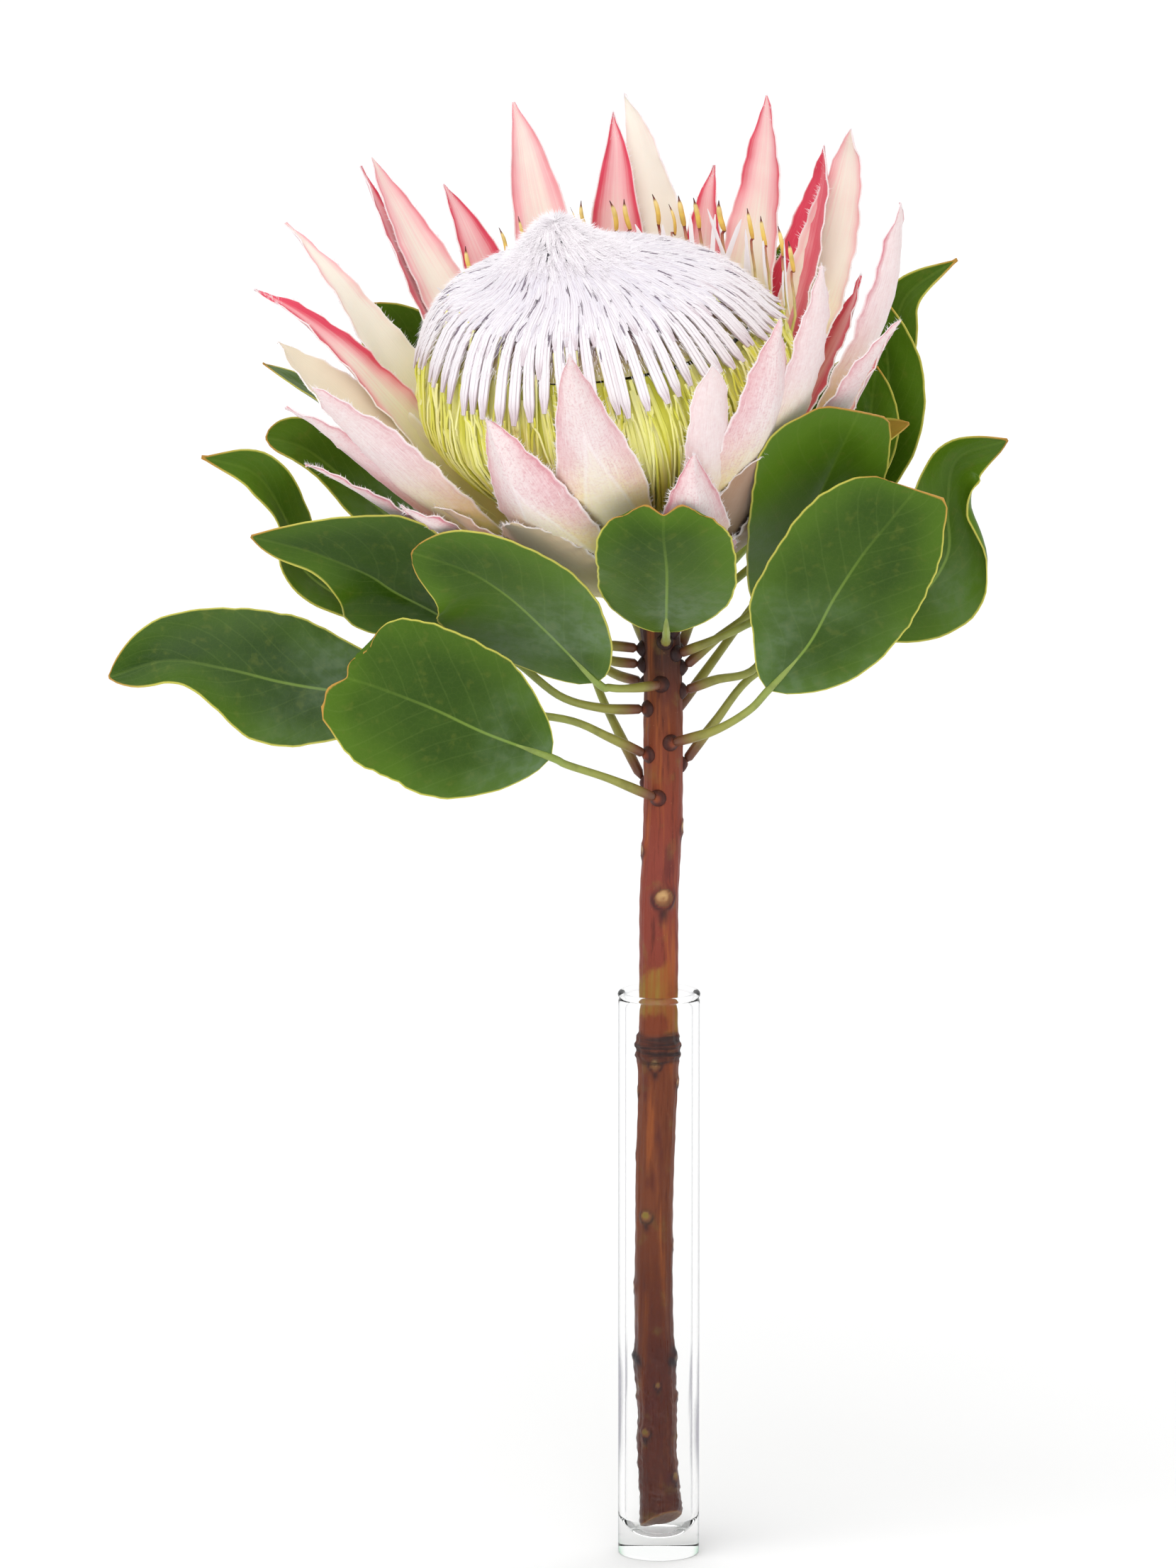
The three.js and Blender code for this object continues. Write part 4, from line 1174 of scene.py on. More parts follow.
@dataclass(frozen=True)
class HeadFrame:
    """A frame that leans left and to the front, with distance from the axis, turn and height."""

    place: Triple = (-1.1, 11.0, 298.1)
    lean_left: float = 12.0
    lean_front: float = 14.2

    @property
    def axis(self) -> Array:
        """The direction that the head faces."""
        left, front = math.tan(math.radians(self.lean_left)), math.tan(math.radians(self.lean_front))
        return unit(np.array([-left, -front, 1.0]))

    @property
    def right(self) -> Array:
        """The direction of turn 0."""
        return unit(np.array([1.0, 0, 0]) - self.axis * self.axis[0])

    @property
    def back(self) -> Array:
        """The direction of turn 90."""
        return np.cross(self.axis, self.right)

    def outward(self, turn: Array) -> Array:
        """The direction away from the axis at a turn in degrees."""
        a = radians(turn)
        return np.multiply.outer(np.cos(a), self.right) + np.multiply.outer(np.sin(a), self.back)

    def sideways(self, turn: Array) -> Array:
        """The direction of growing turn."""
        return self.outward(np.asarray(turn, float) + 90)

    def at(self, r: Array, turn: Array, h: Array) -> Array:
        """A point by distance from the axis, turn in degrees and height."""
        r, turn, h = np.broadcast_arrays(np.asarray(r, float), turn, h)
        return np.array(self.place) + self.outward(turn) * r[..., None] + np.multiply.outer(h, self.axis)

    def from_axis(self, points: Array) -> tuple[Array, Array]:
        """How far points lie from the axis.

        Args:
            points: the points, in millimetres.

        Returns:
            Their heights, and their offsets from the axis.
        """
        local = points - np.array(self.place)
        h = local @ self.axis
        return h, local - np.multiply.outer(h, self.axis)

    def away_from(self, points: Array, heights: Sequence[float], radii: Sequence[float],
                  softness: float = 0.8) -> Array:
        """Moves points that are nearer the axis than a profile allows out to the profile.

        Args:
            points: the points, in millimetres.
            heights: the profile's heights.
            radii: the least distance from the axis at each height.
            softness: how far from the profile points begin to move.

        Returns:
            The points, moved where need be.
        """
        h, flat = self.from_axis(points)
        r = np.linalg.norm(flat, axis=-1)
        least = np.interp(h, heights, radii) * rising(h, heights[0] - 4, heights[0])
        least = least - 9 * rising(h, heights[-1] - 3, heights[-1] + 12)
        over = (r - least) / softness
        pushed = least + (np.maximum(over, 0) + np.log1p(np.exp(-np.abs(over)))) * softness
        return points + unit(flat) * (pushed - r)[:, None]


HEAD = HeadFrame()


@dataclass
class GlassTube:
    """A straight tube with a thick floor and a rolled lip."""

    radius: float = 12.5
    bore: float = 10.4
    height: float = 177.0
    floor: float = 6.6
    lip_height: float = 2.0
    lip_swell: float = 0.2
    lip_fall: float = 0.1
    bowl_dip: float = 1.0
    bowl_rise: float = 6.0
    steps: int = 96
    # Loops that keep the long walls and the necks of the bends straight
    wall_loop: float = 60.0
    neck_loops: tuple[float, float] = (2.0, 1.0)
    # The foot's rounding: distance in from the wall, and height
    foot: Sequence[tuple[float, float]] = (
        (12.5, 0.35), (5.625, 0.25), (1.5, 0.1), (0.8, 0.0), (0.35, 0.05), (0.1, 0.25), (0.0, 0.7),
        (0.0, 1.4),
        (0.0, 6.0),
    )
    # Where the bowl's outline has points, as shares of the bore
    bowl: Sequence[float] = (1, 0.985, 0.95, 0.9, 0.83, 0.75, 0.65, 0.52, 0.38, 0.22, 0.1, 0)

    def profile(self) -> list[tuple[float, float]]:
        """The closed outline from the middle of the foot round to the middle of the floor.

        Returns:
            Distances from the axis and heights.
        """
        r, b, neck = self.radius, self.bore, self.height - self.lip_height
        far = self.height - self.wall_loop
        necks = [neck - loop for loop in self.neck_loops]
        outline = [(r - inset, z) for inset, z in self.foot]
        outline += [(r, z) for z in (self.wall_loop, far, *necks)]
        outer, inner = r + self.lip_swell, b - self.lip_fall
        for angle in np.radians(np.linspace(-60, 240, 15)):
            across, up = math.cos(angle), math.sin(angle)
            r = (outer + inner + (outer - inner) * across) / 2
            outline.append((r, neck + self.lip_height * (1 + up) / 2))
        rim = self.floor - self.bowl_dip + self.bowl_rise
        outline += [(b, z) for z in (*reversed(necks), far, self.wall_loop, rim + 1.5)]
        return outline + [(b * k, rim - self.bowl_rise * (1 - k ** 4)) for k in self.bowl]

    def build(self, glass: Material) -> None:
        """Spins the outline into the tube and dresses it.

        Args:
            glass: its material.
        """
        outline = self.profile()
        obj, u, v = sheet_of("glass_vase", 1, len(outline) - 1)
        rows = np.round(v * (len(outline) - 1)).astype(int)
        place(obj, [(outline[i][0], 0, outline[i][1]) for i in rows])
        pick(obj)
        for item in (*obj.data.edges, *obj.data.polygons):
            item.select = False
        for vertex, across in zip(obj.data.vertices, u):
            vertex.select = across > 0.5
        bpy.ops.object.mode_set(mode="EDIT")
        bpy.ops.mesh.select_mode(type="VERT")
        bpy.ops.mesh.delete(type="VERT")
        bpy.ops.mesh.select_all(action="SELECT")
        bpy.ops.mesh.spin(steps=self.steps, angle=TURN, center=(0, 0, 0), axis=(0, 0, 1))
        bpy.ops.object.mode_set(mode="OBJECT")
        close_up(obj)
        smooth(obj, 40)
        finish_piece(obj, "glass", ["glass_tube"], glass)


# Stem centre line and radius by height: x, y, z, radius
STEM_LINE = (
    (0.6, -3.3, 6.3, 6.3), (0.6, -3.2, 12, 6.35), (0.2, -2.8, 21, 6.15), (-0.6, -2.3, 34, 6.0),
    (-0.4, -1.8, 45, 6.0), (-1.0, -1.2, 57, 6.25), (-1.3, -0.7, 68, 6.0), (-1.5, -0.2, 80, 5.85),
    (-1.5, 0.9, 104, 5.75), (-1.4, 1.4, 116, 5.85), (-1.0, 2.0, 130, 5.9), (-0.4, 2.7, 145, 6.05),
    (-0.3, 3.1, 153, 6.35), (-0.3, 3.2, 156.5, 6.95), (-0.3, 3.3, 160.5, 6.9), (-0.2, 3.5, 163.5, 6.2),
    (-0.1, 3.7, 169, 5.9), (-0.1, 3.95, 177, 5.9), (0, 4.6, 190, 5.9), (0, 5.2, 205, 5.9),
    (0.8, 5.8, 221, 5.85), (1.2, 6.6, 238, 5.95), (1.2, 7.6, 255, 6.0), (1.2, 8.7, 271, 5.8),
    (0.6, 9.6, 284, 5.9), (-0.3, 10.4, 292, 6.4),
)


def stem_at(height: float) -> tuple[Array, float]:
    """The stem at a height.

    Args:
        height: the height, in millimetres.

    Returns:
        Its centre and its radius.
    """
    table = np.array(STEM_LINE, float)
    x, y, r = (np.interp(height, table[:, 2], table[:, k]) for k in (0, 1, 3))
    return np.array([x, y, float(height)]), float(r)


@dataclass
class Stem:
    """A woody stem with a wrinkled joint, leaf scars, bud collars and an oblique cut."""

    sides: int = 84
    rings: int = 380
    # The share of the rings in the cut face, and where the wall ends and runs on into the head's foot
    cap: float = 0.02
    neck: float = 0.965
    cut_right: float = 0.4
    cut_front: float = 0.6
    cut_drop: float = 2.3
    cut_length: float = 16.0
    top_radius: float = 7.0
    collar_radius: float = 3.1
    collar_sunk: float = 0.2
    joint_height: float = 159.0
    ring_height: float = 62.0
    soaked_height: float = 72.0
    # Old leaf scars: height, direction in degrees (270 is the front), size, how green
    scars: Sequence[tuple[float, float, float, float]] = (
        (206, 283, 4.1, 0.0), (227, 352, 2.6, 0.2), (220, 190, 2.6, 0.1), (154.5, 262, 2.6, 0.1),
        (148, 345, 1.8, 0.0), (145, 192, 1.7, 0.5), (107, 246, 2.5, 0.9), (130, 20, 1.7, 0.0),
        (84, 183, 2.0, 0.1), (97, 355, 1.9, 0.0), (125, 180, 1.6, 0.0), (61, 190, 2.2, 0.0),
        (62, 345, 2.2, 0.0), (54.4, 275, 1.3, 0.9), (50, 352, 1.5, 0.0), (39.4, 236, 2.1, 0.9),
        (25.5, 325, 2.2, 0.7), (190, 90, 2.4, 0.0), (140, 100, 2.2, 0.2), (72, 80, 2.2, 0.0),
        (30, 120, 2.0, 0.0), (212, 120, 2.6, 0.0),
    )

    def ridges(self, a: Array, z: Array) -> tuple[Array, Array, Array]:
        """The bark's relief without its scars.

        Args:
            a: directions round the stem, in radians.
            z: heights.

        Returns:
            How far the bark stands out, and how strong the joint and the ring below it are.
        """
        relief = 0.07 * np.sin(9 * a + 0.06 * z) + 0.05 * np.sin(17 * a - 0.11 * z + 1.3)
        relief += 0.05 * np.sin(31 * a + 1.7 * np.sin(0.2 * z)) + 0.05 * np.sin(0.9 * z + 3 * np.sin(2 * a))
        joint = 1 - rising(np.abs(z - self.joint_height + 0.5 * np.sin(3 * a + 1)), 3.4, 5.4)
        relief += joint * (0.3 * np.sin(2.1 * z + 1.6 * np.sin(3 * a)) + 0.16 * np.sin(11 * a + z))
        ring = hump(z + 0.8 * np.sin(5 * a), self.ring_height, 3.4)
        ring *= 0.08 + 0.92 * rising(np.abs(np.cos(a)), 0.5, 0.85)
        soaked = rising(self.soaked_height - z, 0.0, 9.0)
        relief += 0.35 * ring + soaked * 0.12 * np.sin(0.7 * z + 3 * np.sin(a) + 1.5 * np.sin(0.23 * z))
        relief += soaked * 0.16 * np.sin(1.9 * z + 5 * a) * np.sin(3 * a + 0.4 * z)
        return relief, joint, ring

    def scarred(self, a: Array, z: Array, r: Array) -> tuple[Array, Array, Array, Array]:
        """The marks that fallen leaves left.

        Args:
            a: directions round the stem, in radians.
            z: heights.
            r: the stem's radius there.

        Returns:
            How far they stand out, how bare they are (lighter on their upper side, as painted light), how
            green, and how dark it is round them (painted shade under their rims, and a dark streak below
            each).
        """
        relief, bare, green, dark = np.zeros((4, len(a)))
        for height, direction, size, greenish in self.scars:
            off = (a - math.radians(direction) + np.pi) % TURN - np.pi
            d = np.hypot(off * r / (0.95 * size), (z - height) / size)
            rim = hump(d, 0.85, 0.22)
            relief += size * (0.2 * hump(d, 0, 0.95) + 0.1 * rim - 0.12 * hump(d, 0, 0.35))
            # Painted light: each scar is barer and so lighter on its upper side
            upper = np.clip(0.62 + 0.5 * (z - height) / size + 0.2 * np.sin(7 * d + 3 * off), 0.3, 1)
            shown = (1 - rising(d, 0.6, 0.8)) * upper
            green = np.where(shown > bare, greenish, green)
            bare = np.maximum(bare, shown)
            # Painted shade: the rim round each scar is darker, most of all on its lower side
            low = mix(1.0, 0.35, rising(z, height - 0.3 * size, height + size))
            # A dark streak below each scar
            streak_below = hump(off * r, 0, 0.4 * size) * rising(height - z, 0.6 * size, size)
            streak_below *= 1 - rising(height - z, 1.2 * size, 2.4 * size)
            dark = np.maximum.reduce([dark, 0.8 * rim * (d > 0.7) * low, 0.85 * streak_below])
        return relief, bare, green, dark

    def wall(self) -> Piece:
        """Rolls the bark, with its ridges, joint and scars, and the cut at its foot.

        Returns:
            The stem without its collars.
        """
        obj, u, v = sheet_of("bark_stem", self.sides, self.rings)
        table = np.array(STEM_LINE, float)
        line = curve(table[:, :4], np.linspace(0, 1, 400))[0]
        foot, top, radius = table[0, 2], table[-1, 2], table[0, 3]
        wall = np.clip((v - self.cap) / (1 - self.cap), 0, 1)
        z = foot + (top - foot) * np.minimum(wall / self.neck, 1)
        x, y, r = (np.interp(z, line[:, 2], line[:, k]) for k in (0, 1, 3))
        a = TURN * u
        ridges, joint, ring = self.ridges(a, z)
        relief, bare, green, dark = self.scarred(a, z, r)
        ridges += relief
        ring = np.minimum(1.25 * ring * (0.8 + 0.3 * np.sin(4 * a + 1.3 * z)), 1.0)
        # The dark attribute holds painted shade round the scars and at the collars, the dark streak below
        # each scar, and the dark joint and ring
        dark = np.maximum(dark, 0.3 * joint + ring)
        on_cut = v < self.cap
        shrink = np.where(on_cut, v / self.cap, 1.0)
        dx, dy = (r + ridges) * np.cos(a) * shrink, (r + ridges) * np.sin(a) * shrink
        slope = self.cut_right * (dx + radius) - self.cut_front * (dy - radius) - self.cut_drop
        rise = slope * np.clip(1 - (z - foot) / self.cut_length, 0, 1)
        head = HEAD.at(self.top_radius + ridges * 0.5, u * 360, 0.0)
        points = np.stack([x + dx, y + dy, z + rise], axis=-1)
        place(obj, mix(points, head, rising(wall, self.neck, 1.0)[:, None]))
        bare = np.maximum(bare, 0.8 * hump(np.maximum(v - self.cap, 0), 0, 0.0035))
        note(obj, joint=joint, green=green * ~on_cut,
             scar=np.where(on_cut, mix(0.32, 0.85, rising(shrink, 0.7, 0.95)), bare),
             dark=np.where(on_cut, 0.35 * rising(np.abs(shrink - 0.5), 0.2, 0.5), dark))
        close_up(obj)
        return obj

    def collar(self, leaf: "Leaf") -> Piece:
        """The swollen seat that a leaf stalk leaves the stem from.

        Args:
            leaf: the leaf.

        Returns:
            The collar.
        """
        out, seat = collar_of(leaf)
        clear_selection()
        bpy.ops.mesh.primitive_uv_sphere_add(segments=20, ring_count=12, radius=1)
        obj = bpy.context.object
        co = corners(obj)
        squeeze = 0.86 - 0.3 * rising(co[:, 0], 0.1, 1.0)
        axes = np.stack([out, [-out[1], out[0], 0], [0, 0, 1.0]])
        shares = np.stack([co[:, 0] * 0.72, co[:, 1] * squeeze, co[:, 2] * squeeze], axis=-1)
        place(obj, seat + self.collar_radius * (shares @ axes))
        # Painted shade: the collar darkens towards the stem, where it sits in the bark
        note(obj, scar=0.0, green=0.0, joint=0.0, dark=0.75 * (1 - rising(co[:, 0], 0.55, 0.95)))
        return obj

    def build(self, bark: Material, leaves: Sequence["Leaf"]) -> None:
        """Joins the bark and its collars into one dressed stem.

        Args:
            bark: its material.
            leaves: the leaves that it carries.
        """
        stem = join([self.wall(), *(self.collar(leaf) for leaf in leaves)], "bark_stem")
        smooth(stem, 50)
        finish_piece(stem, "bark", ["stem"], bark)


@dataclass(frozen=True)
class Leaf:
    """One stalked leaf: its stalk and midrib as points, and how its blade is cut and curled.

    lobe is how far two lobes stand past the tip, blunt how wide the blade still is there, and slant
    how much farther one side reaches than the other.
    """

    name: str
    stalk: Sequence[Sequence[float]]
    rib: Sequence[Sequence[float]]
    face: Triple
    half: float
    widest: float
    tip: tuple[float, float]
    cup: float
    wave: tuple[float, float, float]
    tip_face: Triple | None = None
    lobe: float = 0.0
    blunt: float = 0.0
    # Where one side is fuller or narrower: side (1 or -1), place along, reach, share
    edges: Sequence[tuple[float, float, float, float]] = ()
    slant: float = 0.0
    # How much more painted light it has than its neighbours, and how ripe its tip is
    light: float = 0.0
    ripe: float = 0.0
    # Side that rolls over, where, over what share of the length, and by how many degrees
    roll: tuple[float, float, float, float] = (0.0, 0.5, 0.2, 0.0)


LEAVES = (
    Leaf("leaf_front_low_left", [[-1, -1, 237], [-15, -9, 245], [-28, -17, 251]],
         [[-33, -20, 254], [-52, -29, 263], [-69, -34, 272], [-84, -34, 278], [-95, -31, 281]],
         (-0.2, -0.95, 0.05), 25.5, 0.42, (3.4, 0.5), 0.05, (2, 1.5, 0.5), lobe=2.4, blunt=0.42, slant=-5.0),
    Leaf("leaf_far_left", [[-5, 2, 250], [-15, 0, 256], [-28, -2, 262], [-50, -3, 265]],
         [[-63, -3, 267], [-96, -4, 271], [-115, -4, 274], [-132, -3, 278], [-150, 0, 280], [-168, 4, 274]],
         (0.05, -0.9, 0.42), 21, 0.45, (1.9, 0.75), 0.1, (2, 1.2, 0),
         edges=((-1, 0.74, 0.2, -0.5),), light=-0.3),
    Leaf("leaf_front_upper_left", [[0, -1, 272], [-9, -8, 273], [-15, -12, 274]],
         [[-19, -14, 276], [-34, -27, 294], [-48, -38, 309], [-59, -43, 316.5], [-75, -43, 322]],
         (-0.3, -0.85, -0.4), 24, 0.38, (2.2, 0.65), 0.05, (1.5, 1.2, 0.3)),
    Leaf("leaf_left", [[-5, 4, 264], [-17, 1, 265], [-30, -1, 269], [-42, -3, 279]],
         [[-49, -4, 284], [-69, -9, 297], [-81, -12, 304], [-90, -14, 310], [-106, -16, 317],
          [-124, -18, 322]],
         (-0.25, -0.82, -0.35), 18, 0.45, (1.8, 0.8), 0.15, (1.5, 1.2, 0),
         edges=((-1, 0.76, 0.16, -0.5), (1, 0.55, 0.3, 0.75))),
    Leaf("leaf_left_folded", [[-6, 9, 282], [-19, 9, 283], [-45, 8, 282], [-65, 7, 282]],
         [[-74, 6, 286], [-93, 4, 296.5], [-108.6, 2, 308], [-113.8, 0, 324], [-122.9, -4, 338.5],
          [-139, -10, 345]],
         (0.9, -0.3, 0.3), 9.5, 0.5, (1.7, 0.9), 0.1, (1.5, 1.5, 0), tip_face=(0, -0.9, 0.5),
         edges=((-1, 0.62, 0.12, -0.5), (1, 0.85, 0.15, 0.3))),
    Leaf("leaf_left_upper", [[-6, 9, 277], [-19, 12, 279], [-41, 18, 290], [-56, 22, 299]],
         [[-65, 25, 305], [-83, 26, 320], [-98, 26, 333], [-109, 22, 342], [-120, 16, 346]],
         (-0.2, -0.75, 0.6), 11, 0.45, (2.6, 0.55), 0.1, (1, 1.5, 0), edges=((-1, 0.6, 0.35, -0.45),)),
    Leaf("leaf_back_left_low", [[-6, 11, 271], [-17, 20, 274], [-37, 30, 290], [-59, 37, 315]],
         [[-67, 38, 324], [-85, 38, 338], [-98, 36, 350], [-111, 32, 360], [-121, 28, 367]],
         (-0.35, -0.3, 0.9), 9, 0.45, (1.6, 0.9), 0.1, (1, 1.5, 0)),
    Leaf("leaf_back_left_high",
         [[-5, 10, 240], [-13, 20, 255], [-19, 28, 267], [-26, 42, 288], [-35, 52, 310]],
         [[-39, 56, 320], [-52, 60, 333], [-67, 61, 350], [-80, 58, 367], [-92, 52, 380]],
         (-0.1, -0.8, 0.55), 17, 0.45, (2, 0.7), 0.1, (1, 1.5, 0)),
    Leaf("leaf_front_middle", [[2, 3, 285], [2, -6, 288]],
         [[2, -16, 292], [2, -33, 304], [2, -49, 317.5], [1, -59, 329], [1, -62, 337]],
         (0, -0.75, -0.65), 21, 0.45, (4.5, 0.42), 0.05, (0.8, 1, 0), tip_face=(0, -0.98, 0.1), lobe=3.6,
         blunt=0.6),
    Leaf("leaf_right_upper", [[5, 6, 281], [15, 4, 285], [25, 2, 290]],
         [[31, 0, 295], [40, -14, 314], [47, -28, 334], [53, -37, 349], [60, -42, 365]],
         (0.25, -0.8, -0.5), 20.5, 0.55, (3.4, 0.5), 0.05, (1.5, 1.3, 0.3), blunt=0.45,
         edges=((-1, 0.8, 0.25, 0.3), (1, 0.75, 0.3, -0.15)), light=0.45),
    Leaf("leaf_front_right", [[4, 1, 254], [17, -8, 260], [27, -13, 267]],
         [[33, -16, 274], [45, -26, 290], [53, -36, 307], [61, -43, 321], [69, -47, 332], [77, -47, 342]],
         (0.15, -0.95, -0.15), 24.5, 0.38, (2.6, 0.55), 0.05, (0.8, 1, 0), blunt=0.35, slant=3.0,
         edges=((-1, 0.85, 0.2, 0.15),)),
    Leaf("leaf_far_right_waved", [[7, 9, 246], [17, 14, 258], [29, 18, 272], [48, 15, 281]],
         [[62, 10, 286], [78, 12, 296], [88, 14, 310], [88, 16, 326], [91, 14, 340], [106, 8, 347]],
         (0.1, -0.98, 0.1), 16, 0.5, (1.8, 0.8), 0.05, (2.5, 1.5, 0.2), tip_face=(0.1, -0.9, -0.3), light=0.2,
         roll=(1.0, 0.55, 0.22, 165), edges=((1, 0.22, 0.2, 0.3), (1, 0.66, 0.14, -0.3),
                                             (-1, 0.8, 0.24, -0.4))),
    Leaf("leaf_right_high", [[5, 15, 260], [17, 23, 276], [37, 32, 302], [54, 38, 322]],
         [[62, 41, 337], [69, 43, 355], [72, 43, 371], [76, 41, 386], [91, 35, 398]],
         (-0.6, -0.7, 0.2), 8.6, 0.45, (1.6, 0.9), 0.1, (1, 1.2, 0), tip_face=(-0.4, -0.8, 0.3)),
    Leaf("leaf_right_long", [[7, 8, 269], [17, 10, 272], [29, 12, 275], [37, 20, 288]],
         [[42, 24, 304], [57, 28, 324], [67, 30, 343], [70, 30, 361], [69, 28, 376], [67, 24, 389]],
         (-0.3, -0.9, 0.2), 13, 0.45, (1.8, 0.8), 0.1, (1, 1.2, 0)),
    Leaf("leaf_right_inner", [[7, 9, 276], [17, 12, 284], [30, 14, 294], [38, 16, 306]],
         [[44, 18, 314], [56, 20, 331], [63, 20, 345], [65, 20, 358], [66, 18, 368]],
         (-0.1, -0.95, 0.2), 10, 0.45, (1.8, 0.8), 0.1, (1, 1.2, 0)),
    Leaf("leaf_right_small", [[6, 4, 288], [15, 5, 297], [28, 6, 308]],
         [[39, 7, 317], [53, 11, 331], [64, 12, 344], [76, 8, 352]],
         (-0.2, -0.6, 0.75), 7.5, 0.5, (2.2, 0.75), 0.35, (1, 1.2, 0), ripe=0.5, light=0.3),
    Leaf("leaf_back_right", [[7, 13, 281], [10, 22, 288], [17, 34, 297], [27, 44, 307]],
         [[34, 50, 313], [48, 57, 331], [57, 59, 348], [66, 57, 365]],
         (0, -0.9, 0.4), 17, 0.45, (1.8, 0.8), 0.1, (1, 1.2, 0)),
    Leaf("leaf_back_slim", [[2, 16, 286], [9, 30, 292], [15, 48, 304], [21, 66, 319]],
         [[23, 74, 328], [30, 82, 356], [35, 84, 377], [39, 82, 396]],
         (0, -0.9, 0.4), 8, 0.45, (1.8, 0.8), 0.1, (1, 1.2, 0)),
    Leaf("leaf_back", [[-4, 16, 280], [-8, 34, 287], [-15, 56, 299]],
         [[-17, 66, 305], [-22, 80, 325], [-25, 88, 346], [-27, 88, 366]],
         (0, -0.6, 0.8), 20, 0.45, (2.2, 0.7), 0.1, (1, 1.2, 0), tip_face=(0, -0.8, 0.5)),
)


def collar_of(leaf: Leaf) -> tuple[Array, Array]:
    """Where a leaf's stalk grows out.

    Args:
        leaf: the leaf.

    Returns:
        The way out of the stem, and the collar's middle.
    """
    start = np.array(leaf.stalk[0], float)
    centre, radius = stem_at(start[2])
    out = unit((start - centre) * [1, 1, 0])
    return out, centre + out * (radius - Stem.collar_sunk)


@dataclass
class Foliage:
    """All leaves, each a leathery blade on a round stalk that runs on as its midrib."""

    columns: int = 30
    rows: int = 44
    stalk_radius: float = 1.32
    stalk_sides: int = 10
    stalk_rings: int = 56
    # The share of the stalk's rings before the blade, and how far along the blade the midrib runs
    stalk_share: float = 0.45
    midrib_reach: float = 0.93
    thickness: float = 0.62
    thinnest: float = 0.6
    wave_lead: float = 0.35
    rooted: float = 0.8
    roll_from: float = 0.3
    leaves: Sequence[Leaf] = LEAVES

    @staticmethod
    def width(t: Array, leaf: Leaf) -> Array:
        """Half the width along the blade.

        Args:
            t: shares of its length.
            leaf: the leaf.

        Returns:
            Shares of its widest.
        """
        rise = np.sin(np.minimum(t / leaf.widest, 1) * np.pi / 2) ** 0.75
        u = np.clip((t - leaf.widest) / (1 - leaf.widest), 0, 1)
        taper = mix((1 - u ** leaf.tip[0]) ** leaf.tip[1], 1, leaf.blunt * u ** 6)
        return np.where(t < leaf.widest, rise, taper)

    @staticmethod
    def stalk_end(leaf: Leaf) -> float:
        """Where the stalk meets the blade, as a share of the whole."""
        return len(leaf.stalk) / (len(leaf.stalk) + len(leaf.rib) - 1)

    def spine(self, leaf: Leaf, share: Array) -> tuple[Array, Array, Array, Array]:
        """The line that stalk and midrib follow.

        Args:
            leaf: the leaf.
            share: shares of the whole line.

        Returns:
            Points, directions of travel, widthways directions and upward normals.
        """
        out, seat = collar_of(leaf)
        middle, along = curve(np.vstack([seat + out * self.rooted, leaf.stalk[1:], leaf.rib]), share)
        end = self.stalk_end(leaf)
        t = np.clip((share - end) / (1 - end), 0, 1)[:, None]
        foot, tip = unit(np.array(leaf.face)), unit(np.array(leaf.tip_face or leaf.face))
        across = unit(np.cross(along, unit(mix(foot, tip, t))))
        return middle, along, across, unit(np.cross(across, along))

    def rolled(self, leaf: Leaf, t: Array, v: Array, half: Array) -> tuple[Array, Array]:
        """How far a margin that rolls over moves each point.

        Args:
            leaf: the leaf.
            t: shares of its length.
            v: shares of its half width.
            half: half its width there.

        Returns:
            The moves widthways and upwards, in millimetres.
        """
        side, where, reach, degrees = leaf.roll
        past = np.maximum(v * side - self.roll_from, 0)
        angle = np.maximum(math.radians(degrees) * hump(t, where, reach) * past / (1 - self.roll_from), 1e-5)
        past = past * half
        return side * (past / angle * np.sin(angle) - past), past / angle * (1 - np.cos(angle))

    def blade(self, leaf: Leaf, seed: float) -> Piece:
        """The flat of the leaf, with dense columns at its midrib and margins.

        Args:
            leaf: the leaf.
            seed: sets its unevenness.

        Returns:
            The blade, with its thickness.
        """
        obj, u, t = sheet_of(leaf.name + "_blade", self.columns, self.rows)
        x = 2 * u - 1
        v = x - 0.8 * np.sin(TURN * x) / TURN
        end = self.stalk_end(leaf)
        t = t ** 0.92
        middle, along, across, normal = self.spine(leaf, end + (1 - end) * t)
        half = np.maximum(leaf.half * self.width(t, leaf), 0.5)
        for side, where, reach, share in leaf.edges:
            half = half * (1 + share * hump(t, where, reach) * (v * side > 0))
        uneven = 1 + 0.018 * ripple(t + 0.5 * (v > 0), seed, (3, 7, 13)) * np.abs(v)
        height, count, phase = leaf.wave
        lead = np.where(v < 0, self.wave_lead, 0)
        lift = leaf.cup * half * v * v
        lift += height * np.sin(np.pi * t) * v * v * np.sin(TURN * (count * t + phase + lead))
        lift += 0.22 * ripple(t * 1.3 + v * 0.5, seed, (1, 2.2)) * np.sin(np.pi * t)
        lift += 0.32 * np.sin(TURN * (9 * t - 3.2 * np.abs(v))) * np.abs(v) * (1 - np.abs(v))
        lift -= 0.55 * hump(half * v, 0, 1.6) * (1 - t) ** 0.6 - 0.3 * (1 - t)
        forward = (leaf.lobe * np.sin(np.pi * np.abs(v) ** 0.85) ** 2 + leaf.slant * v) * t ** 5
        sideways, upwards = self.rolled(leaf, t, v, half)
        points = middle + across * (half * v * uneven + sideways)[:, None]
        place(obj, points + normal * (lift + upwards)[:, None] + along * forward[:, None])
        line = self.spine(leaf, np.linspace(end, 1, 30))[0]
        length = np.linalg.norm(np.diff(line, axis=0), axis=1).sum()
        rim = np.minimum(half * (1 - np.abs(v)), (1 - t) * length)
        note(obj, rim=rim, mid=half * np.abs(v), across=v, along=t, seed=seed, light=leaf.light,
             ripe=leaf.ripe)
        weigh(obj, rising(rim, 0.0, 3.0))
        thicken(obj, self.thickness, self.thinnest)
        return obj

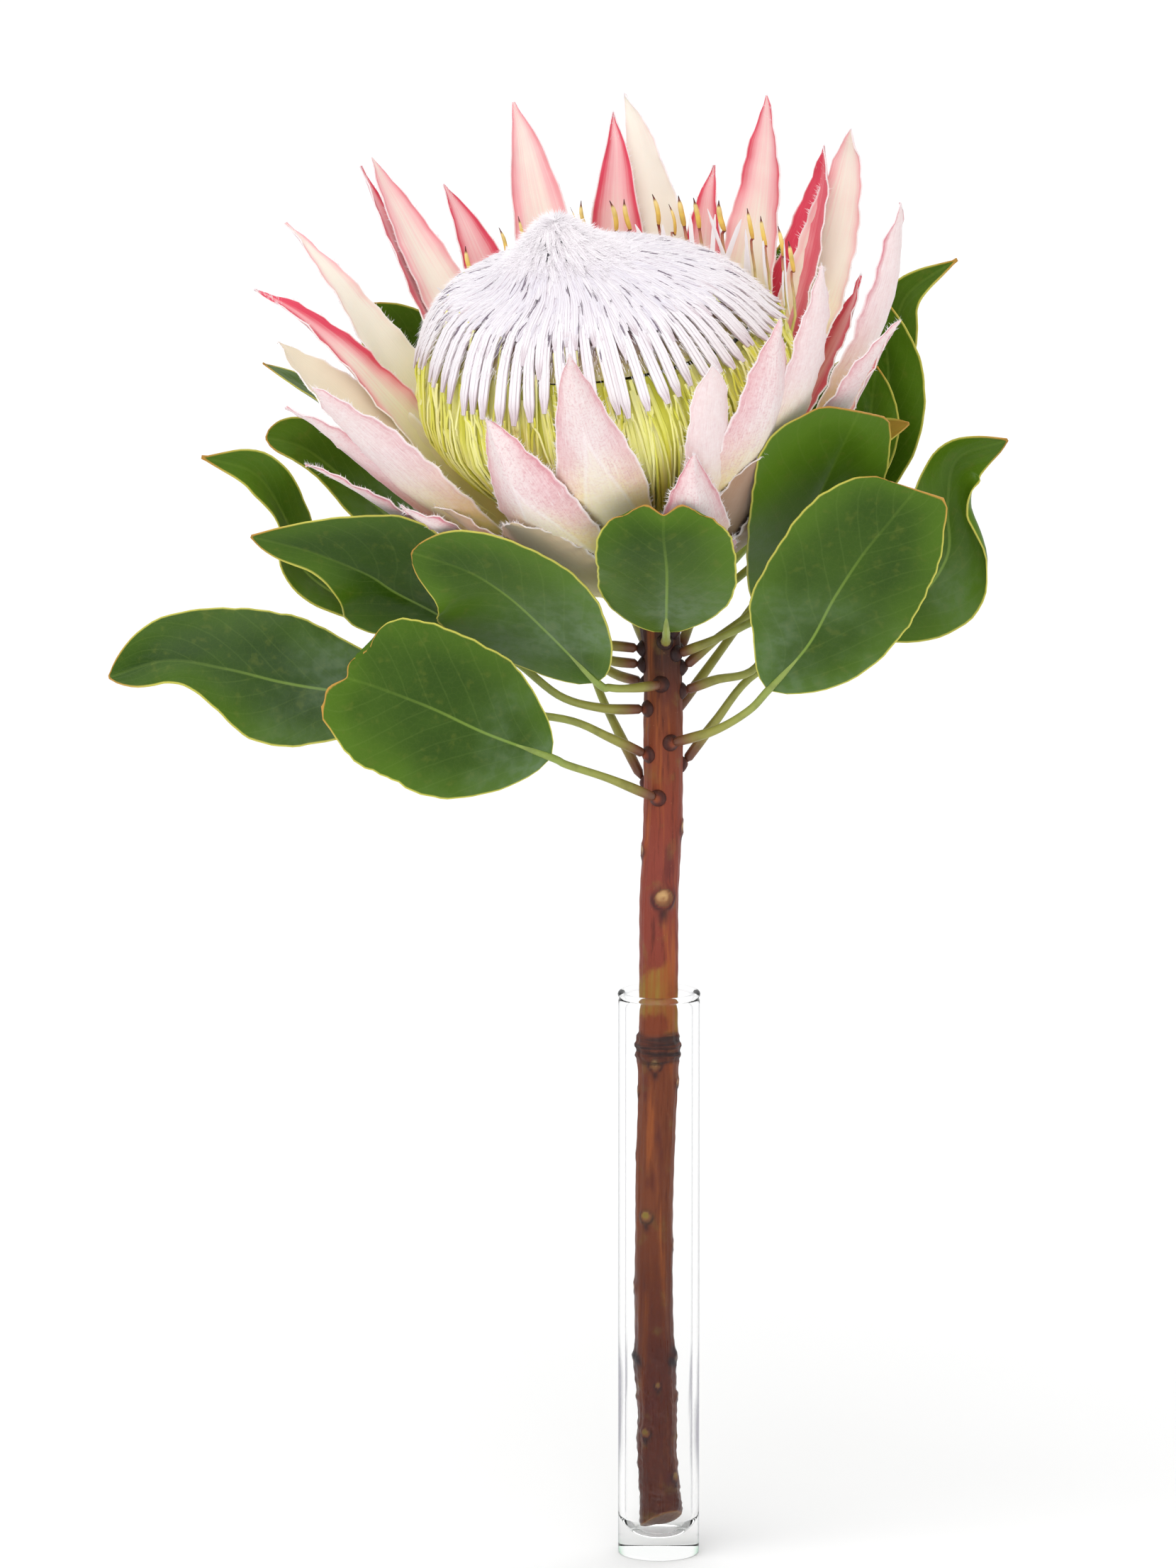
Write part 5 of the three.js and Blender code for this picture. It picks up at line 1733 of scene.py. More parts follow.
    def stalk(self, leaf: Leaf) -> Piece:
        """The round stalk, which sinks into the blade's underside as its midrib.

        Args:
            leaf: the leaf.

        Returns:
            The stalk.
        """
        obj, u, v = sheet_of(leaf.name + "_stalk", self.stalk_sides, self.stalk_rings)
        end, split = self.stalk_end(leaf), self.stalk_share
        beyond = end + (v - split) / (1 - split) * (1 - end) * self.midrib_reach
        share = np.where(v < split, v / split * end, beyond)
        middle, _, across, normal = self.spine(leaf, share)
        t = np.clip((share - end) / (1 - end), 0, 1)
        swell = 1 + 0.3 * hump(share, 0.06, 0.07)
        radius = self.stalk_radius * np.where(t > 0, mix(1, 0.16, t ** 0.7), 0.93) * swell
        closing = radius * np.sqrt(np.clip(np.minimum(v, 1 - v) / 0.012, 0, 1))
        sunk = radius * mix(0.1, 0.95, rising(t, 0.0, 0.22)) * (t > 0)
        over = closing * (1 - 0.2 * rising(t, 0, 0.2)) * np.sin(TURN * u) - sunk
        place(obj, middle + across * (closing * np.cos(TURN * u))[:, None] + normal * over[:, None])
        note(obj, along=share)
        close_up(obj)
        return obj

    def build(self, blade: Material, stalk: Material) -> None:
        """Builds, joins and dresses each leaf.

        Args:
            blade: the material of the blades.
            stalk: the material of the stalks.
        """
        for n, leaf in enumerate(self.leaves):
            parts = [self.blade(leaf, 0.31 + 1.7 * n), self.stalk(leaf)]
            for part, material in zip(parts, (blade, stalk)):
                dress(part, material)
            whole = join(parts, leaf.name + "_dressed")
            smooth(whole, 75)
            finish_piece(whole, "leaf", [leaf.name])


@dataclass(frozen=True)
class Bract:
    """One bract: direction, tip, angles, shape, and how red it is.

    The first ten fields are those of the solid. red is how crimson the tip is inside, spread how far
    down the red runs, rosy how flushed the outside is, fold how sharply the tip is keeled, blunt how
    full the tip is, and tan how brownish the whole is.
    """

    turn: float
    reach: float
    rise: float
    leave: float
    arrive: float
    side: float
    width: float
    curl: float
    twist: float
    flare: float
    red: float = 0.5
    spread: float = 0.5
    rosy: float = 0.3
    fold: float = 0.0
    blunt: float = 1.7
    tan: float = 0.0


class Whorl(Enum):
    """A ring of bracts, by where it leaves the cup: distance from the axis and height."""

    INNER = (19.5, 18.0)
    MIDDLE = (18.8, 13.0)
    OUTER = (16.8, 8.5)
    SCALES = (13.5, 5.0)
    LINING = (18.3, 12.0)


BRACTS = {
    Whorl.INNER: (
        Bract(104, 90, 131.5, 50, 12, -6, 21, 0.3, -10, 0, 0.6, 0.45, blunt=2.7),
        Bract(72, 84, 130, 48, 8, 8, 22, 0.25, -10, 0, 0.25, 0.25, blunt=2.5),
        Bract(128, 98, 128, 52, 22, 3, 19.5, 0.3, 0, 0, 0.5, 0.6, blunt=2.3),
        Bract(153, 95, 127, 66, 24, 0, 17.5, 0.4, -25, 6, 0.7, 0.22, blunt=1.5),
        Bract(168, 97, 118, 64, 40, 0, 17, 0.45, -20, 6, 1.5, 0.42, blunt=1.7),
        Bract(207, 95, 108, 68, 34, 2, 24, 0.4, 40, 0, 0.5, 0.4, 0.3, blunt=2.3),
        Bract(266, 75, 118, 50, 10, 2, 26, 0.3, 0, 0, 0.5, 0.4, 0.6, 1.0, 1.8),
        Bract(315, 78, 106, 56, 12, 4, 31, 0.3, 0, 0, 0.5, 0.4, 0.6, 0.6, 2.1),
        Bract(184, 96, 100, 62, 36, -20, 34, 0.3, -30, 0, 0.1, 0.2, 0.2, blunt=1.9, tan=0.35),
        Bract(325, 85, 116, 54, 8, 9, 20, 0.35, -15, 0, 0.4, 0.4, 0.2, blunt=2.6),
        Bract(345, 102, 124, 58, 8, 4, 20, 0.45, -30, 0, 0.9, 0.4, 0.15, blunt=2.2),
        Bract(33, 97, 121, 54, 6, -8, 24, 0.35, 30, 0, 0.5, 0.5, blunt=2.5),
        Bract(51, 88, 129, 48, 8, -8, 23, 0.3, 0, 0, 0.8, 0.5, blunt=2.5),
    ),
    Whorl.MIDDLE: (
        Bract(90, 80, 125.5, 50, 14, -14, 21, 0.3, 10, 0, 0.9, 0.55, blunt=2.2),
        Bract(118, 80, 118, 52, 20, 4, 22, 0.3, 0, 0, 0.75, 0.9, blunt=1.9),
        Bract(135, 100, 126, 54, 25, -6, 19, 0.4, 30, 0, 0.85, 0.9, blunt=2.0),
        Bract(200, 98, 99, 68, 40, -2, 18, 0.4, 35, 0, 0.6, 0.5, 0.45),
        Bract(244, 70, 96, 56, 12, -0.5, 30, 0.3, 0, 0, 0.6, 0.5, 0.7, 1.0, 2.1),
        Bract(295, 70, 98, 56, 10, 9, 15, 0.3, 0, 0, 0.1, 0.4, 0.12, blunt=7.0),
        Bract(335, 98, 91, 62, 40, 8, 16, 0.35, -35, 0, 0.6, 0.5, 0.5),
        Bract(30, 88, 75, 66, 30, -8, 18, 0.25, 0, 0, 0.9, 0.9),
        Bract(40, 90, 115.5, 50, 10, -13, 22, 0.45, 0, 0, 1.2, 0.9, blunt=2.2),
        Bract(68, 78, 107.5, 54, 12, -11, 20, 0.25, 0, 0, 0.75, 0.7, blunt=2.0),
    ),
    Whorl.OUTER: (
        Bract(199, 97, 78, 80, 52, 0, 16, 0.3, 20, 0, 0.9, 0.8, 0.5),
        Bract(221, 85, 69, 70, 50, 0, 16, 0.3, 25, 0, 0.8, 0.7, 0.6),
        Bract(290, 66, 72, 66, 10, 3, 28, 0.25, 0, 0, 0.8, 0.5, 0.6, 0.9, 1.7),
        Bract(60, 88, 84, 66, 24, 0, 21, 0.25, 0, 0, 0.6, 0.6, 0.4),
        Bract(86, 84, 90, 62, 20, 0, 22, 0.25, 0, 0, 0.6, 0.6, 0.4),
        Bract(111, 86, 82, 66, 24, 3, 21, 0.25, 0, 0, 0.6, 0.6, 0.4),
        Bract(143, 92, 84, 68, 30, 0, 20, 0.25, 0, 0, 0.7, 0.6, 0.4),
        Bract(174, 92, 72, 74, 42, 0, 18, 0.25, 10, 0, 0.8, 0.6, 0.5),
        Bract(5, 88, 70, 72, 36, 0, 18, 0.25, 0, 0, 0.7, 0.6, 0.4),
        Bract(316, 62, 60, 64, 34, 0, 34, 0.2, 0, 0, 0.1, 0.3, 0.1, blunt=2.4, tan=0.85),
        Bract(338, 64, 52, 70, 40, 0, 34, 0.2, 0, 0, 0.1, 0.3, 0.2, blunt=2.4, tan=0.8),
        Bract(236, 60, 56, 66, 36, 0, 34, 0.2, 0, 0, 0.1, 0.3, 0.1, blunt=2.6, tan=0.7),
        Bract(210, 64, 58, 68, 36, 0, 32, 0.2, 0, 0, 0.1, 0.3, 0.1, blunt=2.4, tan=0.7),
        Bract(304, 52, 34, 76, 50, 0, 22, 0.2, 0, 0, 0.5, 0.5, 0.7, blunt=2.0, tan=0.15),
    ),
    Whorl.SCALES: tuple(
        Bract(12 + 40 * n, 34, 27, 62, 24, 0, 14, 0.2, 0, 0, 0.4, 0.5, 0.5) for n in range(9)),
    Whorl.LINING: tuple(
        Bract(15 + 30 * n, 45, 37 + 2 * (n % 3), 52, 40, 0, 26, 0.2, 0, 0, 0.05, 0.3, 0.2, blunt=3.0,
              tan=0.6)
        for n in range(12)),
}


@dataclass
class Involucre:
    """The cup and the whorls of bracts that stand round the florets."""

    columns: int = 20
    rows: int = 44
    thickness: float = 0.95
    thinnest: float = 0.45
    widest: float = 0.52
    root: float = 0.55
    pull_root: float = 0.38
    pull_tip: float = 0.34
    pull_side: float = 0.25
    flare_drop: float = 0.45
    margin_hairs: int = 220
    beard_hairs: int = 70
    seed_step: float = 1.37
    # Room that the florets take: height, and the least distance from the axis
    room_heights: Sequence[float] = (26.0, 31.4, 39.4, 47.4, 55.6, 66.6, 75, 84, 91.5, 100)
    room_radii: Sequence[float] = (17.8, 24.8, 34.4, 42.4, 48.9, 55.5, 59, 59.2, 56.4, 51.3)
    cup: Sequence[tuple[float, float]] = (
        (0, 0.4), (8, 0.5), (12, 2.2), (16, 5.2), (19.6, 9.5), (21.6, 14.5), (22, 20), (20.6, 24.6),
        (17.4, 26), (0, 26),
    )

    def width(self, t: Array, blunt: float) -> Array:
        """Half the width along a bract.

        Args:
            t: shares of its length.
            blunt: how full its tip is.

        Returns:
            Shares of its widest.
        """
        wide = np.sin(np.minimum(t / self.widest, 1) * np.pi / 2) ** 1.1
        u = np.clip((t - self.widest) / (1 - self.widest), 0, 1)
        taper = (1 - u ** blunt) * (1 - 0.1 * np.sin(u * np.pi))
        return np.where(t < self.widest, mix(self.root, 1, wide), taper)

    def spine(self, whorl: Whorl, b: Bract, t: Array) -> tuple[Array, Array]:
        """The line that a bract follows from the cup to its tip.

        Args:
            whorl: the ring that it grows in.
            b: the bract.
            t: shares of its length.

        Returns:
            The points and the directions towards the tip, by distance out, side and height.
        """
        start = np.array([whorl.value[0], 0, whorl.value[1]])
        tip = np.array([b.reach, b.side, b.rise])
        length = math.hypot(b.reach - start[0], b.rise - start[2])
        leave, arrive = math.radians(b.leave), math.radians(b.arrive)
        first = start + self.pull_root * length * np.array([math.sin(leave), 0, math.cos(leave)])
        second = tip - self.pull_tip * length * np.array([math.sin(arrive), 0, math.cos(arrive)])
        second[1] = b.side * self.pull_side
        k = t[:, None]
        m = 1 - k
        line = m ** 3 * start + 3 * m * m * k * first + 3 * m * k * k * second + k ** 3 * tip
        way = 3 * m * m * (first - start) + 6 * m * k * (second - first) + 3 * k * k * (tip - second)
        flare = b.flare * t ** 7
        return line + np.stack([flare, 0 * t, -self.flare_drop * flare], -1), way

    def surface(self, whorl: Whorl, b: Bract, t: Array, v: Array, seed: float) -> tuple[Array, Array, Array]:
        """Where a bract's middle sheet lies.

        Args:
            whorl: the ring that it grows in.
            b: the bract.
            t: shares of its length.
            v: shares of its half width, from -1 to 1.
            seed: sets its uneven margin.

        Returns:
            The points, the directions towards the tip, and the directions towards the axis.
        """
        line, way = self.spine(whorl, b, t)
        axes = np.stack([HEAD.outward(b.turn), HEAD.sideways(b.turn), HEAD.axis])
        forward = unit(way @ axes)
        inward = unit(np.cross(forward, axes[1]))
        inward *= -np.sign(inward @ axes[0])[:, None]
        edgeways = unit(np.cross(inward, forward))
        edgeways *= np.sign(edgeways @ axes[1])[:, None]
        half = np.maximum(b.width / 2 * self.width(t, b.blunt), 0.25)
        half = half * (1 + 0.045 * ripple(t + 0.31 * (v > 0), seed, (2, 5, 9)) * np.abs(v))
        turned, across = np.radians(b.twist * t ** 0.8), half * v
        hollow = across * np.sin(turned) + b.curl * t ** 0.7 * half * v * v
        hollow -= b.fold * rising(t, 0.45, 0.95) * 0.42 * half * (1 - np.abs(v)) ** 1.4
        hollow += 0.3 * ripple(t * 1.2 + 0.2 * v, seed, (1, 3)) * np.sin(np.pi * t)
        waved = ripple(t * 2 + 0.4 * (v > 0), seed + 0.7, (3, 7)) * rising(t, 0.3, 0.6)
        end = rising(t, 0.88, 1.0) ** 2
        across = across + 1.5 * math.sin(5.3 * seed) * end
        hollow += 0.8 * np.abs(v) ** 3 * waved + 1.2 * math.cos(3.1 * seed) * end
        points = np.array(HEAD.place) + line @ axes
        points = points + edgeways * (across * np.cos(turned))[:, None] + inward * hollow[:, None]
        points += axes[0] * (-(across ** 2) / (2 * line[:, 0]) * (1 - b.curl))[:, None]
        return HEAD.away_from(points, self.room_heights, self.room_radii), forward, inward

    def blade(self, whorl: Whorl, b: Bract, seed: float) -> Piece:
        """One bract as a sheet, with what its material reads.

        Args:
            whorl: the ring that it grows in.
            b: the bract.
            seed: sets its uneven margin.

        Returns:
            The sheet.
        """
        obj, u, t = sheet_of("blade", self.columns, self.rows)
        x = 2 * u - 1
        v = x + 0.075 * np.sin(np.pi * x)
        v = np.clip(v / np.max(np.abs(v)), -1, 1)
        place(obj, self.surface(whorl, b, t, v, seed)[0])
        start = 1 - b.spread
        red = b.red * rising(t, start - 0.15, start + 0.65) * (0.7 + 0.35 * v * v)
        red = red + 0.75 * b.red * np.abs(v) ** 2.5 * rising(t, start - 0.3, start + 0.25)
        note(obj, across=v, along=t, seed=seed, red=red, rosy=b.rosy, fold=min(b.fold, 1.0), tan=b.tan)
        weigh(obj, rising(1 - np.abs(v), 0, 0.5) * rising(1 - t, 0, 0.15))
        return obj

    def hairs(self, whorl: Whorl, b: Bract, seed: float, hairs: Hairs) -> None:
        """Grows silky hairs along a bract's margins and at its tip.

        Args:
            whorl: the ring that it grows in.
            b: the bract.
            seed: sets its uneven margin.
            hairs: what the hairs are added to.
        """
        random, count = hairs.random, self.margin_hairs
        t = 0.3 + 0.7 * random.random(count) ** 0.8
        v = np.where(np.arange(count) % 2, 1.0, -1.0)
        roots, forward, _ = self.surface(whorl, b, t, v, seed)
        outward = unit(roots - self.surface(whorl, b, t, v * 0.9, seed)[0] + 1e-6)
        lengths = random.uniform(0.6, 2.0, count)
        hairs.grow(roots - outward * 0.1, outward + 0.7 * forward, lengths, 0.08, 0.35)
        count = self.beard_hairs
        t = 1 - 0.07 * random.random(count)
        v = random.uniform(-1, 1, count)
        roots, forward, inward = self.surface(whorl, b, t, v, seed)
        hairs.grow(roots, forward + 0.2 * inward, random.uniform(0.8, 2.6, count), 0.07, 0.3)

    def receptacle(self) -> Piece:
        """The cup that carries the bracts and florets.

        Returns:
            The cup.
        """
        obj, u, v = sheet_of("bract_cup", 72, 40)
        rows = np.linspace(0, 1, len(self.cup))
        r, h = (np.interp(v, rows, [point[k] for point in self.cup]) for k in (0, 1))
        dimple = 0.35 * np.sin(TURN * (18 * u + 2 * v)) * np.sin(np.pi * v * 9) * np.sin(np.pi * v)
        place(obj, HEAD.at(np.maximum(r + dimple * (r > 1), 0), u * 360, h))
        note(obj, along=v)
        close_up(obj)
        smooth(obj)
        return obj

    def build(self, finish: BractFinish, down: Material, cup: Material, groups: Groups) -> None:
        """Builds and dresses each whorl, its hairs and the cup.

        Args:
            finish: the bracts' finish.
            down: the hairs' material.
            cup: the cup's material.
            groups: the effects that materials share.
        """
        faces = [finish.made(side, groups) for side in Side]
        seed = 0.0
        for n, (whorl, bracts) in enumerate(BRACTS.items()):
            hairs, blades = Hairs(40 + n), []
            for b in bracts:
                seed += self.seed_step
                blades.append(self.blade(whorl, b, seed))
                self.hairs(whorl, b, seed, hairs)
            name = f"bracts_{whorl.name.lower()}"
            ring = join(blades, name)
            dress(ring, *faces)
            thicken(ring, self.thickness, self.thinnest)
            smooth(ring, 80)
            finish_piece(ring, "bract", ["bracts"])
            finish_piece(hairs.bundle.made(name + "_hairs"), "bract", [], down)
        finish_piece(self.receptacle(), "bract", ["bracts"], cup)


class Profile:
    """An outline round the head's axis that points and outward directions are looked up on."""

    def __init__(self, outline: Sequence[tuple[float, float]], samples: int, by_length: bool) -> None:
        """Measures the outline.

        Args:
            outline: distances from the axis and heights, with the outside on the left of its run if it
                is looked up by length, and else on the right.
            samples: how many points stand for it.
            by_length: whether places are given in millimetres from its start, and not as shares.
        """
        fine, _ = curve(outline, np.linspace(0, 1, samples))
        steps = np.hypot(*np.diff(fine, axis=0).T)
        self.places = np.concatenate([[0], np.cumsum(steps)]) if by_length else np.linspace(0, 1, samples)
        slope = unit(np.gradient(fine, axis=0)) * (-1 if by_length else 1)
        self.table = np.column_stack([fine, slope[:, 1], -slope[:, 0]])

    def at(self, place: Array) -> list[Array]:
        """Distance from the axis, height, and the outward direction's two parts."""
        return [np.interp(place, self.places, column) for column in self.table.T]


@dataclass(frozen=True)
class StripRow:
    """A row of wool strips: how many, where their lower ends lie along the dome, and their length."""

    count: int
    end: float
    length: float
    width: float
    jitter: float
    lift: float


@dataclass
class WoolDome:
    """The woolly tips of the florets, closed over the head in overlapping rows."""

    outline: Sequence[tuple[float, float]] = (
        (0, 131.0), (4, 130.6), (8, 129.2), (13, 127.0), (20, 123.2), (28, 119.0), (36, 114.6),
        (43.5, 109.4), (50, 102.0), (55, 92.5), (58.2, 81.2),
    )
    # The side where the florets have opened hangs lower
    sag: float = 11.0
    sag_turn: float = 25.0
    rows: Sequence[StripRow] = (
        StripRow(68, 77, 46, 4.0, 3.0, 0.0),
        StripRow(68, 58, 38, 2.6, 6.0, 0.2),
    )
    tufts: int = 640
    tuft_reach: float = 44.0
    tuft_spiral: float = 137.508
    # Dark rods laid as painted shadow in the slits between the tufts
    shadow_slits: int = 110
    # How much sooner the strips end, by turn
    short_turns: Sequence[float] = (0, 180, 215, 245, 275, 305, 335, 360)
    short_by: Sequence[float] = (4, 7, 7, 4, 3.5, 6.5, 9, 4)
    top_shift: float = 5.0
    top_drop: float = 2.6
    flank_drop: float = 5.0
    flank_turn: float = 10.0
    core_fold: float = 0.55
    core_depths: tuple[float, float] = (1.7, 3.3)
    core_short: float = 20.0
    loose_hairs: int = 9000
    top_hairs: int = 4200
    frayed_hairs: int = 7

    def __post_init__(self) -> None:
        """Measures the outline."""
        self.profile = Profile(self.outline, 600, by_length=True)

    def on(self, s: Array, turn: Array, lift: Array) -> Array:
        """Points on the dome.

        Args:
            s: lengths from its top.
            turn: turns in degrees.
            lift: heights over it.

        Returns:
            The points, in millimetres.
        """
        r, h, nr, nh = self.profile.at(s)
        over = np.maximum(s - self.profile.places[-1], 0)
        sagging = rising(r, 1, 17) * rising(h, 79, 99) * (0.5 + 0.5 * np.cos(radians(turn - self.sag_turn)))
        slack = 0.5 - 0.5 * np.cos(radians(turn - self.flank_turn))
        slack = slack * rising(r, 3, 14) * (1 - rising(r, 26, 46))
        high = h + nh * lift - over * 0.95 - self.sag * sagging
        high = high - self.flank_drop * slack - self.top_drop * (1 - rising(s, 0, 16))
        shift = np.multiply.outer(-self.top_shift * (1 - rising(s, 4, 34)), HEAD.right)
        return HEAD.at(np.maximum(r + nr * lift - 0.25 * over, 0), turn, high) + shift

    def core(self) -> Piece:
        """The shell, painted as shade, that shows in the slits.

        Returns:
            The shell.
        """
        obj, u, v = sheet_of("wool_core_painted_shade", 96, 44)
        total, out = self.profile.places[-1] - self.core_short, v <= self.core_fold
        s = np.where(out, v / self.core_fold, (1 - v) / (1 - self.core_fold)) * total
        groove = np.where(out, 0.25 * np.cos(TURN * 74 * u), 0) * rising(s, 20, 50)
        place(obj, self.on(s, u * 360, groove - np.where(out, *self.core_depths)))
        note(obj, along=s / total)
        close_up(obj, 0.01)
        smooth(obj)
        return obj

    def lay(self, rod: Rod, s: Array, turn: Array, lift: Array, wide: Array, deep: Array,
            **notes: Array) -> None:
        """Lays a copy of a rod over the dome.

        Args:
            rod: the rod.
            s: a length from the top for each ring.
            turn: its turn.
            lift: its height over the dome.
            wide: half its width.
            deep: half its depth.
            **notes: numbers for the material.
        """
        middle = self.on(s, turn, lift)
        out = unit(self.on(s, turn, lift + 1) - middle)
        side = unit(np.cross(out, unit(np.gradient(middle, axis=0))))
        rod.bend(middle, side, out, wide, deep, **notes)

    def strips(self, random: np.random.Generator) -> tuple[Piece, Ends]:
        """The two rows of long strips.

        Args:
            random: what scatters them.

        Returns:
            The piece, and each strip's lower end as length and turn.
        """
        rod, ends = Rod(6, 8), []
        k = rod.steps
        blunt = np.interp(k, (0, 0.1, 0.84, 0.95, 1), (0.5, 1, 1, 0.85, 0.42))
        for level, row in enumerate(self.rows):
            pitch = 360 / row.count
            for n in range(row.count):
                turn = pitch * (n + 0.5 * (level % 2)) + random.uniform(-0.22, 0.22) * pitch
                end = row.end + random.uniform(-1, 1) * row.jitter
                end -= np.interp(turn % 360, self.short_turns, self.short_by)
                start = max(end - row.length * random.uniform(0.9, 1.08), 0.3)
                s = mix(start, end, k)
                turns = turn + random.uniform(-0.25, 0.25) * pitch * k ** 2
                lift = row.lift * (1 - 0.55 * k) + 0.45 * np.sin(np.pi * k) + random.uniform(-0.15, 0.3)
                lift = lift + 0.35 * rising(k, 0.75, 1.0)
                _, flat = HEAD.from_axis(self.on(s, turns, lift))
                room = TURN * np.linalg.norm(flat, axis=1) / row.count
                wide = np.minimum(room * 0.85, row.width * random.uniform(0.88, 1.12)) / 2 * blunt
                deep = mix(0.5, 0.85, k) * np.where(k > 0.99, 0.6, 1.0)
                self.lay(rod, s, turns, lift, np.maximum(wide, 0.25), deep, seed=random.random(),
                         tone=0.15 + 0.5 * hump(s[rod.ring], 30, 14), dash=0.0)
                ends.append((end, turns[-1]))
        return rod.bundle.made("wool_strips", 50), ends

    def felt(self, random: np.random.Generator) -> Piece:
        """The short overlapping tufts of the upper dome, set in the florets' spiral, and dark rods laid in
        the slits as painted shadow.

        Args:
            random: what scatters them.

        Returns:
            The piece.
        """
        rod = Rod(5, 5)
        k = rod.steps
        shape = np.interp(k, (0, 0.2, 0.75, 1), (0.5, 1, 0.9, 0.3))
        for n in range(self.tufts + self.shadow_slits):
            shadow_slit = n >= self.tufts
            # a rod that stands for the shadow in a slit
            if shadow_slit:
                end, turn = 24 + 32 * random.random() ** 0.8, random.uniform(0, 360)
                length, wide, rise = random.uniform(5, 9) + 0.08 * end, random.uniform(0.25, 0.45), 1.0
            else:
                end = 5 + self.tuft_reach * math.sqrt((n + 0.5) / self.tufts) + random.uniform(-2, 2)
                turn, length = self.tuft_spiral * n, random.uniform(8, 13)
                wide, rise = random.uniform(0.75, 1.2), random.uniform(0.7, 1.15)
            s = mix(max(end - length, 0.2), end, k)
            turns = turn + np.degrees(random.normal(0, 0.6) / max(end, 6)) * k
            lift = mix(0.0, rise, k) + 0.25 * np.sin(np.pi * k)
            self.lay(rod, s, turns, lift, wide * shape, 0.42 * shape, across=rod.round[:, 0] * 0.8,
                     along=rod.along * 0.8, seed=random.random(),
                     tone=rising(s[rod.ring], 6, 26) * random.uniform(0.3, 1), dash=float(shadow_slit) * 0.85)
        return rod.bundle.made("wool_felt")

    def fuzz(self, hairs: Hairs, ends: Ends) -> None:
        """Grows loose hairs over the dome, a tuft on its top and frayed strip ends.

        Args:
            hairs: what the hairs are added to.
            ends: the strips' lower ends.
        """
        random = hairs.random
        for count, first, reach, power, lift, stand, lengths, radius, stray in (
                (self.loose_hairs, 2, 60, 0.75, 0.9, 0.3, (1.4, 4.2), 0.075, 0.13),
                (self.top_hairs, 0, 21, 0.7, 0.6, 0.8, (1.6, 4.0), 0.13, 0.32)):
            s = first + reach * random.random(count) ** power
            turn = random.uniform(0, 360, count)
            roots = self.on(s, turn, lift)
            down = unit(self.on(s + 0.5, turn, lift) - roots)
            out = unit(self.on(s, turn, lift + 1) - roots)
            hairs.grow(roots, down + stand * out, random.uniform(*lengths, count), radius, stray)
        count = self.frayed_hairs
        for end, turn in ends:
            turns = turn + random.uniform(-1.6, 1.6, count)
            roots = self.on(np.full(count, end - 0.8), turns, random.uniform(-0.2, 0.7, count))
            down = unit(self.on(np.full(count, end + 0.5), turns, 0.3) - roots)
            hairs.grow(roots, down, random.uniform(1.2, 2.6, count), 0.07, 0.14)

    def build(self, strips: Material, core: Material, down: Material) -> Ends:
        """Builds and dresses the dome.

        Args:
            strips: the strips' material.
            core: the material of the shell painted as shade.
            down: the hairs' material.

        Returns:
            The lower ends of the strips.
        """
        random = np.random.default_rng(7)
        obj, ends = self.strips(random)
        finish_piece(obj, "wool", ["florets_wool"], strips)
        finish_piece(self.felt(random), "wool", ["florets_wool"], strips)
        finish_piece(self.core(), "wool", ["florets_wool"], core)
        hairs = Hairs(9)
        self.fuzz(hairs, ends)
        finish_piece(hairs.bundle.made("wool_fuzz"), "wool", [], down)
        return ends


